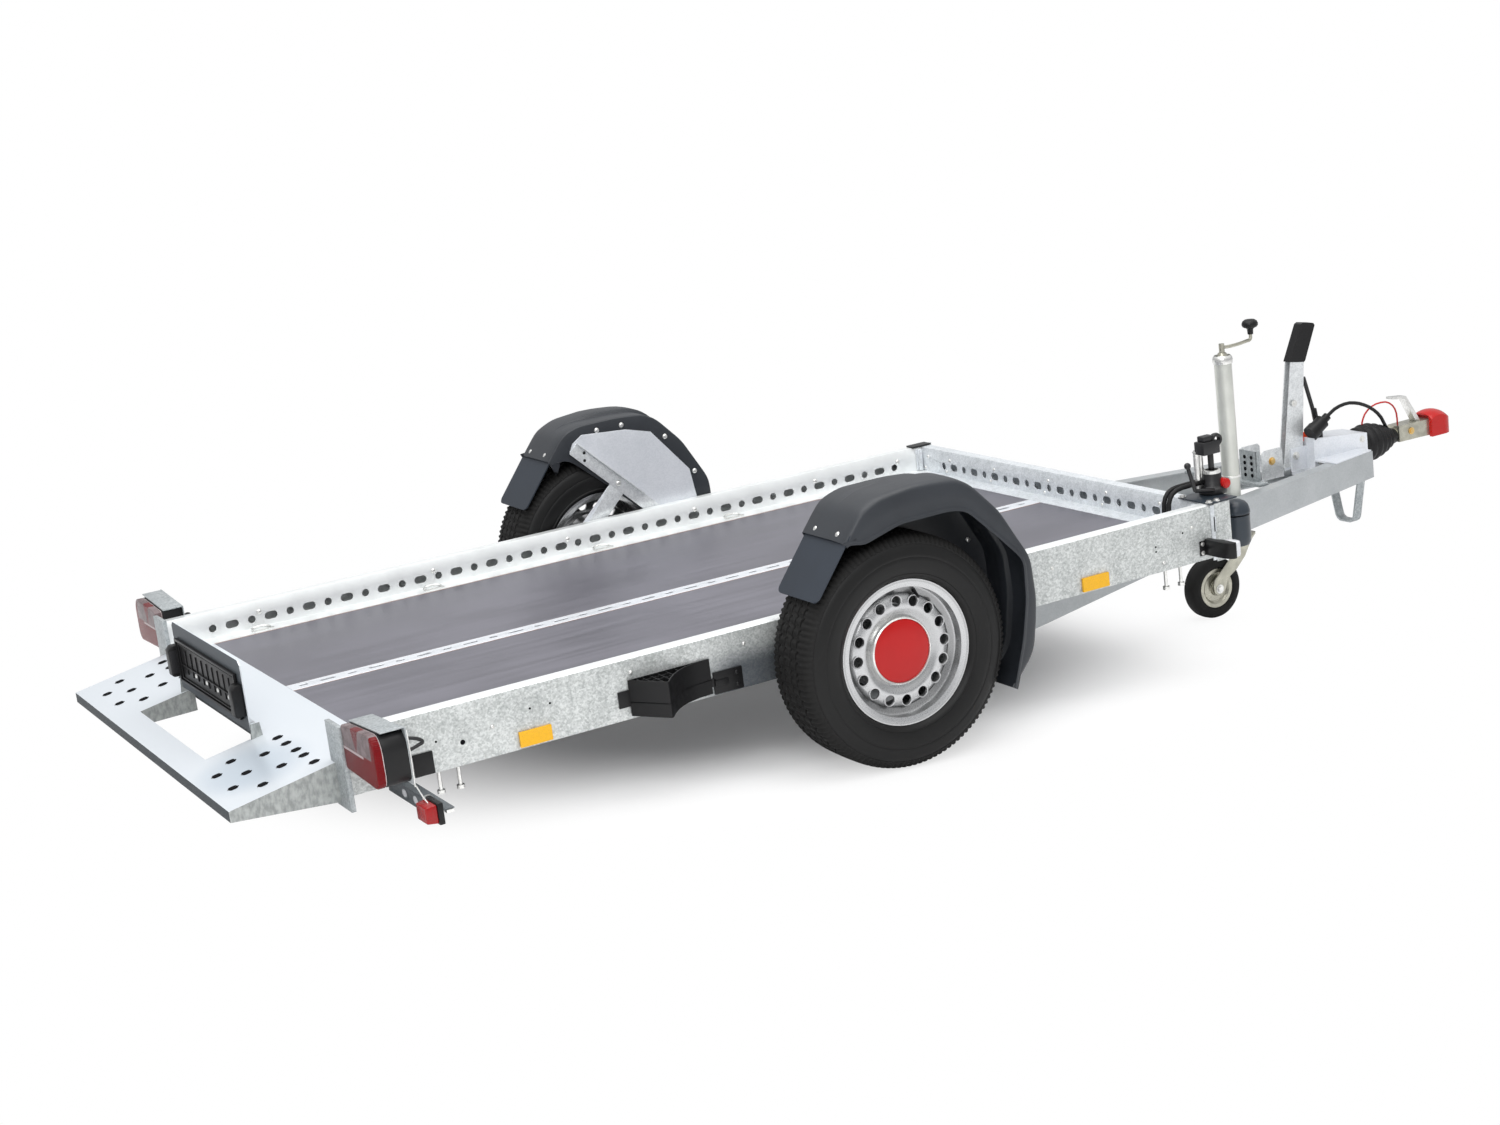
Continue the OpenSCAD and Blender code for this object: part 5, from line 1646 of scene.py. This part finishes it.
@dataclass
class Studio:
    """The pale floor, the soft lights and the camera of the photograph."""

    lens_px: float = 2427.8
    image_w: float = 1500.0
    centre_px: tuple[float, float] = (791.0, 566.1)
    image_centre: tuple[float, float] = (750.0, 562.5)
    camera_mm: tuple[float, float, float] = (-3163.5, -6187.9, 2072.0)
    right: tuple[float, float, float] = (0.85755, -0.50159, -0.11405)
    down: tuple[float, float, float] = (-0.21650, -0.15082, -0.96456)
    shadow: tuple[float, float, float] = (1.75, 1.25, -0.45)

    def camera(self) -> None:
        """Makes the camera at the photograph's place."""
        data = bpy.data.cameras.new("camera")
        data.sensor_width = 36
        data.sensor_fit = "HORIZONTAL"
        data.lens = self.lens_px / self.image_w * data.sensor_width
        data.shift_x = (self.image_centre[0] - self.centre_px[0]) / self.image_w
        data.shift_y = (self.centre_px[1] - self.image_centre[1]) / self.image_w
        data.clip_start, data.clip_end = 0.05, 200
        made = bpy.data.objects.new("camera", data)
        bpy.context.scene.collection.objects.link(made)
        right, up = Vector(self.right), -Vector(self.down)
        back = right.cross(up)
        turn = Matrix((right, up, back)).transposed().to_4x4()
        spot = Matrix.Translation(Vector(self.camera_mm) * MM)
        made.matrix_world = STANCE.matrix() @ spot @ turn
        bpy.context.scene.camera = made

    def light(self, name: str, place: Point, aim: Point, size: float, power: float) -> None:
        """Adds one soft square light."""
        data = bpy.data.lights.new(name, "AREA")
        data.size = size
        data.energy = power
        made = bpy.data.objects.new(name, data)
        made.location = place
        way = Vector(aim) - Vector(place)
        made.rotation_euler = way.to_track_quat("-Z", "Y").to_euler()
        bpy.context.scene.collection.objects.link(made)

    def world(self) -> None:
        """Makes a white surround, brighter from above, that camera and transmission rays see as
        plain white.
        """
        world = bpy.data.worlds.new("studio")
        bpy.context.scene.world = world
        world.use_nodes = True
        tree = world.node_tree
        tree.nodes.clear()
        out = tree.nodes.new("ShaderNodeOutputWorld")
        path = tree.nodes.new("ShaderNodeLightPath")
        seen = tree.nodes.new("ShaderNodeMath")
        seen.operation = "MAXIMUM"
        tree.links.new(path.outputs["Is Camera Ray"], seen.inputs[0])
        tree.links.new(path.outputs["Is Transmission Ray"], seen.inputs[1])
        lit, shown, mix = (tree.nodes.new("ShaderNodeBackground"),
                           tree.nodes.new("ShaderNodeBackground"),
                           tree.nodes.new("ShaderNodeMixShader"))
        coords = tree.nodes.new("ShaderNodeTexCoord")
        parts = tree.nodes.new("ShaderNodeSeparateXYZ")
        tree.links.new(coords.outputs["Generated"], parts.inputs[0])
        ramp = tree.nodes.new("ShaderNodeValToRGB")
        ramp.color_ramp.elements[0].position = 0.0
        ramp.color_ramp.elements[0].color = (0.36, 0.37, 0.39, 1)
        ramp.color_ramp.elements[1].position = 0.6
        ramp.color_ramp.elements[1].color = (1, 1, 1, 1)
        tree.links.new(parts.outputs["Z"], ramp.inputs[0])
        tree.links.new(ramp.outputs[0], lit.inputs["Color"])
        lit.inputs["Strength"].default_value = 0.95
        shown.inputs["Color"].default_value = (1, 1, 1, 1)
        shown.inputs["Strength"].default_value = 1.0
        tree.links.new(seen.outputs[0], mix.inputs[0])
        tree.links.new(lit.outputs[0], mix.inputs[1])
        tree.links.new(shown.outputs[0], mix.inputs[2])
        tree.links.new(mix.outputs[0], out.inputs[0])

    def floor(self) -> None:
        """Makes the white floor that keeps the trailer's soft shadow."""
        bm = bmesh.new()
        bmesh.ops.create_grid(bm, x_segments=1, y_segments=1, size=80)
        mesh = bpy.data.meshes.new("floor")
        bm.to_mesh(mesh)
        bm.free()
        made = bpy.data.objects.new("floor", mesh)
        bpy.context.scene.collection.objects.link(made)
        paint = Paint("floor_white")
        paint.set(Base_Color=(0.9, 0.9, 0.905), Roughness=0.9)
        seen = paint.node("ShaderNodeLightPath", output="Is Camera Ray")
        spot = paint.node("ShaderNodeMapping", inputs={
            "Vector": paint.place(), "Scale": (1 / self.shadow[0], 1 / self.shadow[1], 0),
            "Location": (-self.shadow[2] / self.shadow[0], 0, 0)})
        reach = paint.node("ShaderNodeVectorMath", {"operation": "LENGTH"}, {0: spot}, "Value")
        white = paint.node("ShaderNodeEmission",
                           inputs={"Color": (1.0, 1.0, 1.0), "Strength": 1.0})
        both = paint.node("ShaderNodeMixShader", inputs={
            0: seen * (reach.ramp(0.4, 1.0) * 0.9 + 0.1), 1: Wire(paint, paint.shader.outputs[0]),
            2: white})
        paint.tree.links.new(both.socket, paint.out.inputs["Surface"])
        mesh.materials.append(paint.material)

    def build(self) -> None:
        """Builds the studio."""
        self.camera()
        self.world()
        self.floor()
        self.light("overhead", (-0.4, -0.6, 5.2), (0, 0, 0), 5.0, 210)
        self.light("key", (-4.2, -5.0, 4.2), (0, 0, 0.2), 3.2, 150)
        scene = bpy.context.scene
        scene.view_settings.view_transform = "Standard"


def main() -> None:
    """Builds the studio and dresses the trailer, in order."""
    logging.basicConfig(level=logging.INFO, format="%(message)s")
    finishes = Finishes()
    builders: list[Callable[[], None]] = [
        Studio().build,
        NodeDresser(finishes, rounded={
            "deck_panel_right": 0.5, "deck_panel_left": 0.5, "jockey_tyre": 0.0,
            "plug_lead": 0.0, "breakaway_cable": 0.0, "hoses": 0.0, "bellows": 0.0}).build,
        RoadWheels(finishes).build,
        Mudguards(finishes).build,
        DeckFittings(finishes).build,
        PlateHolder(finishes).build,
        RearLamps(finishes).build,
        RailFittings(finishes).build,
        HandPump(finishes).build,
        JockeyLeg(finishes).build,
        CouplingParts(finishes).build,
    ]
    for build in builders:
        build()


if __name__ == "__main__":
    main()
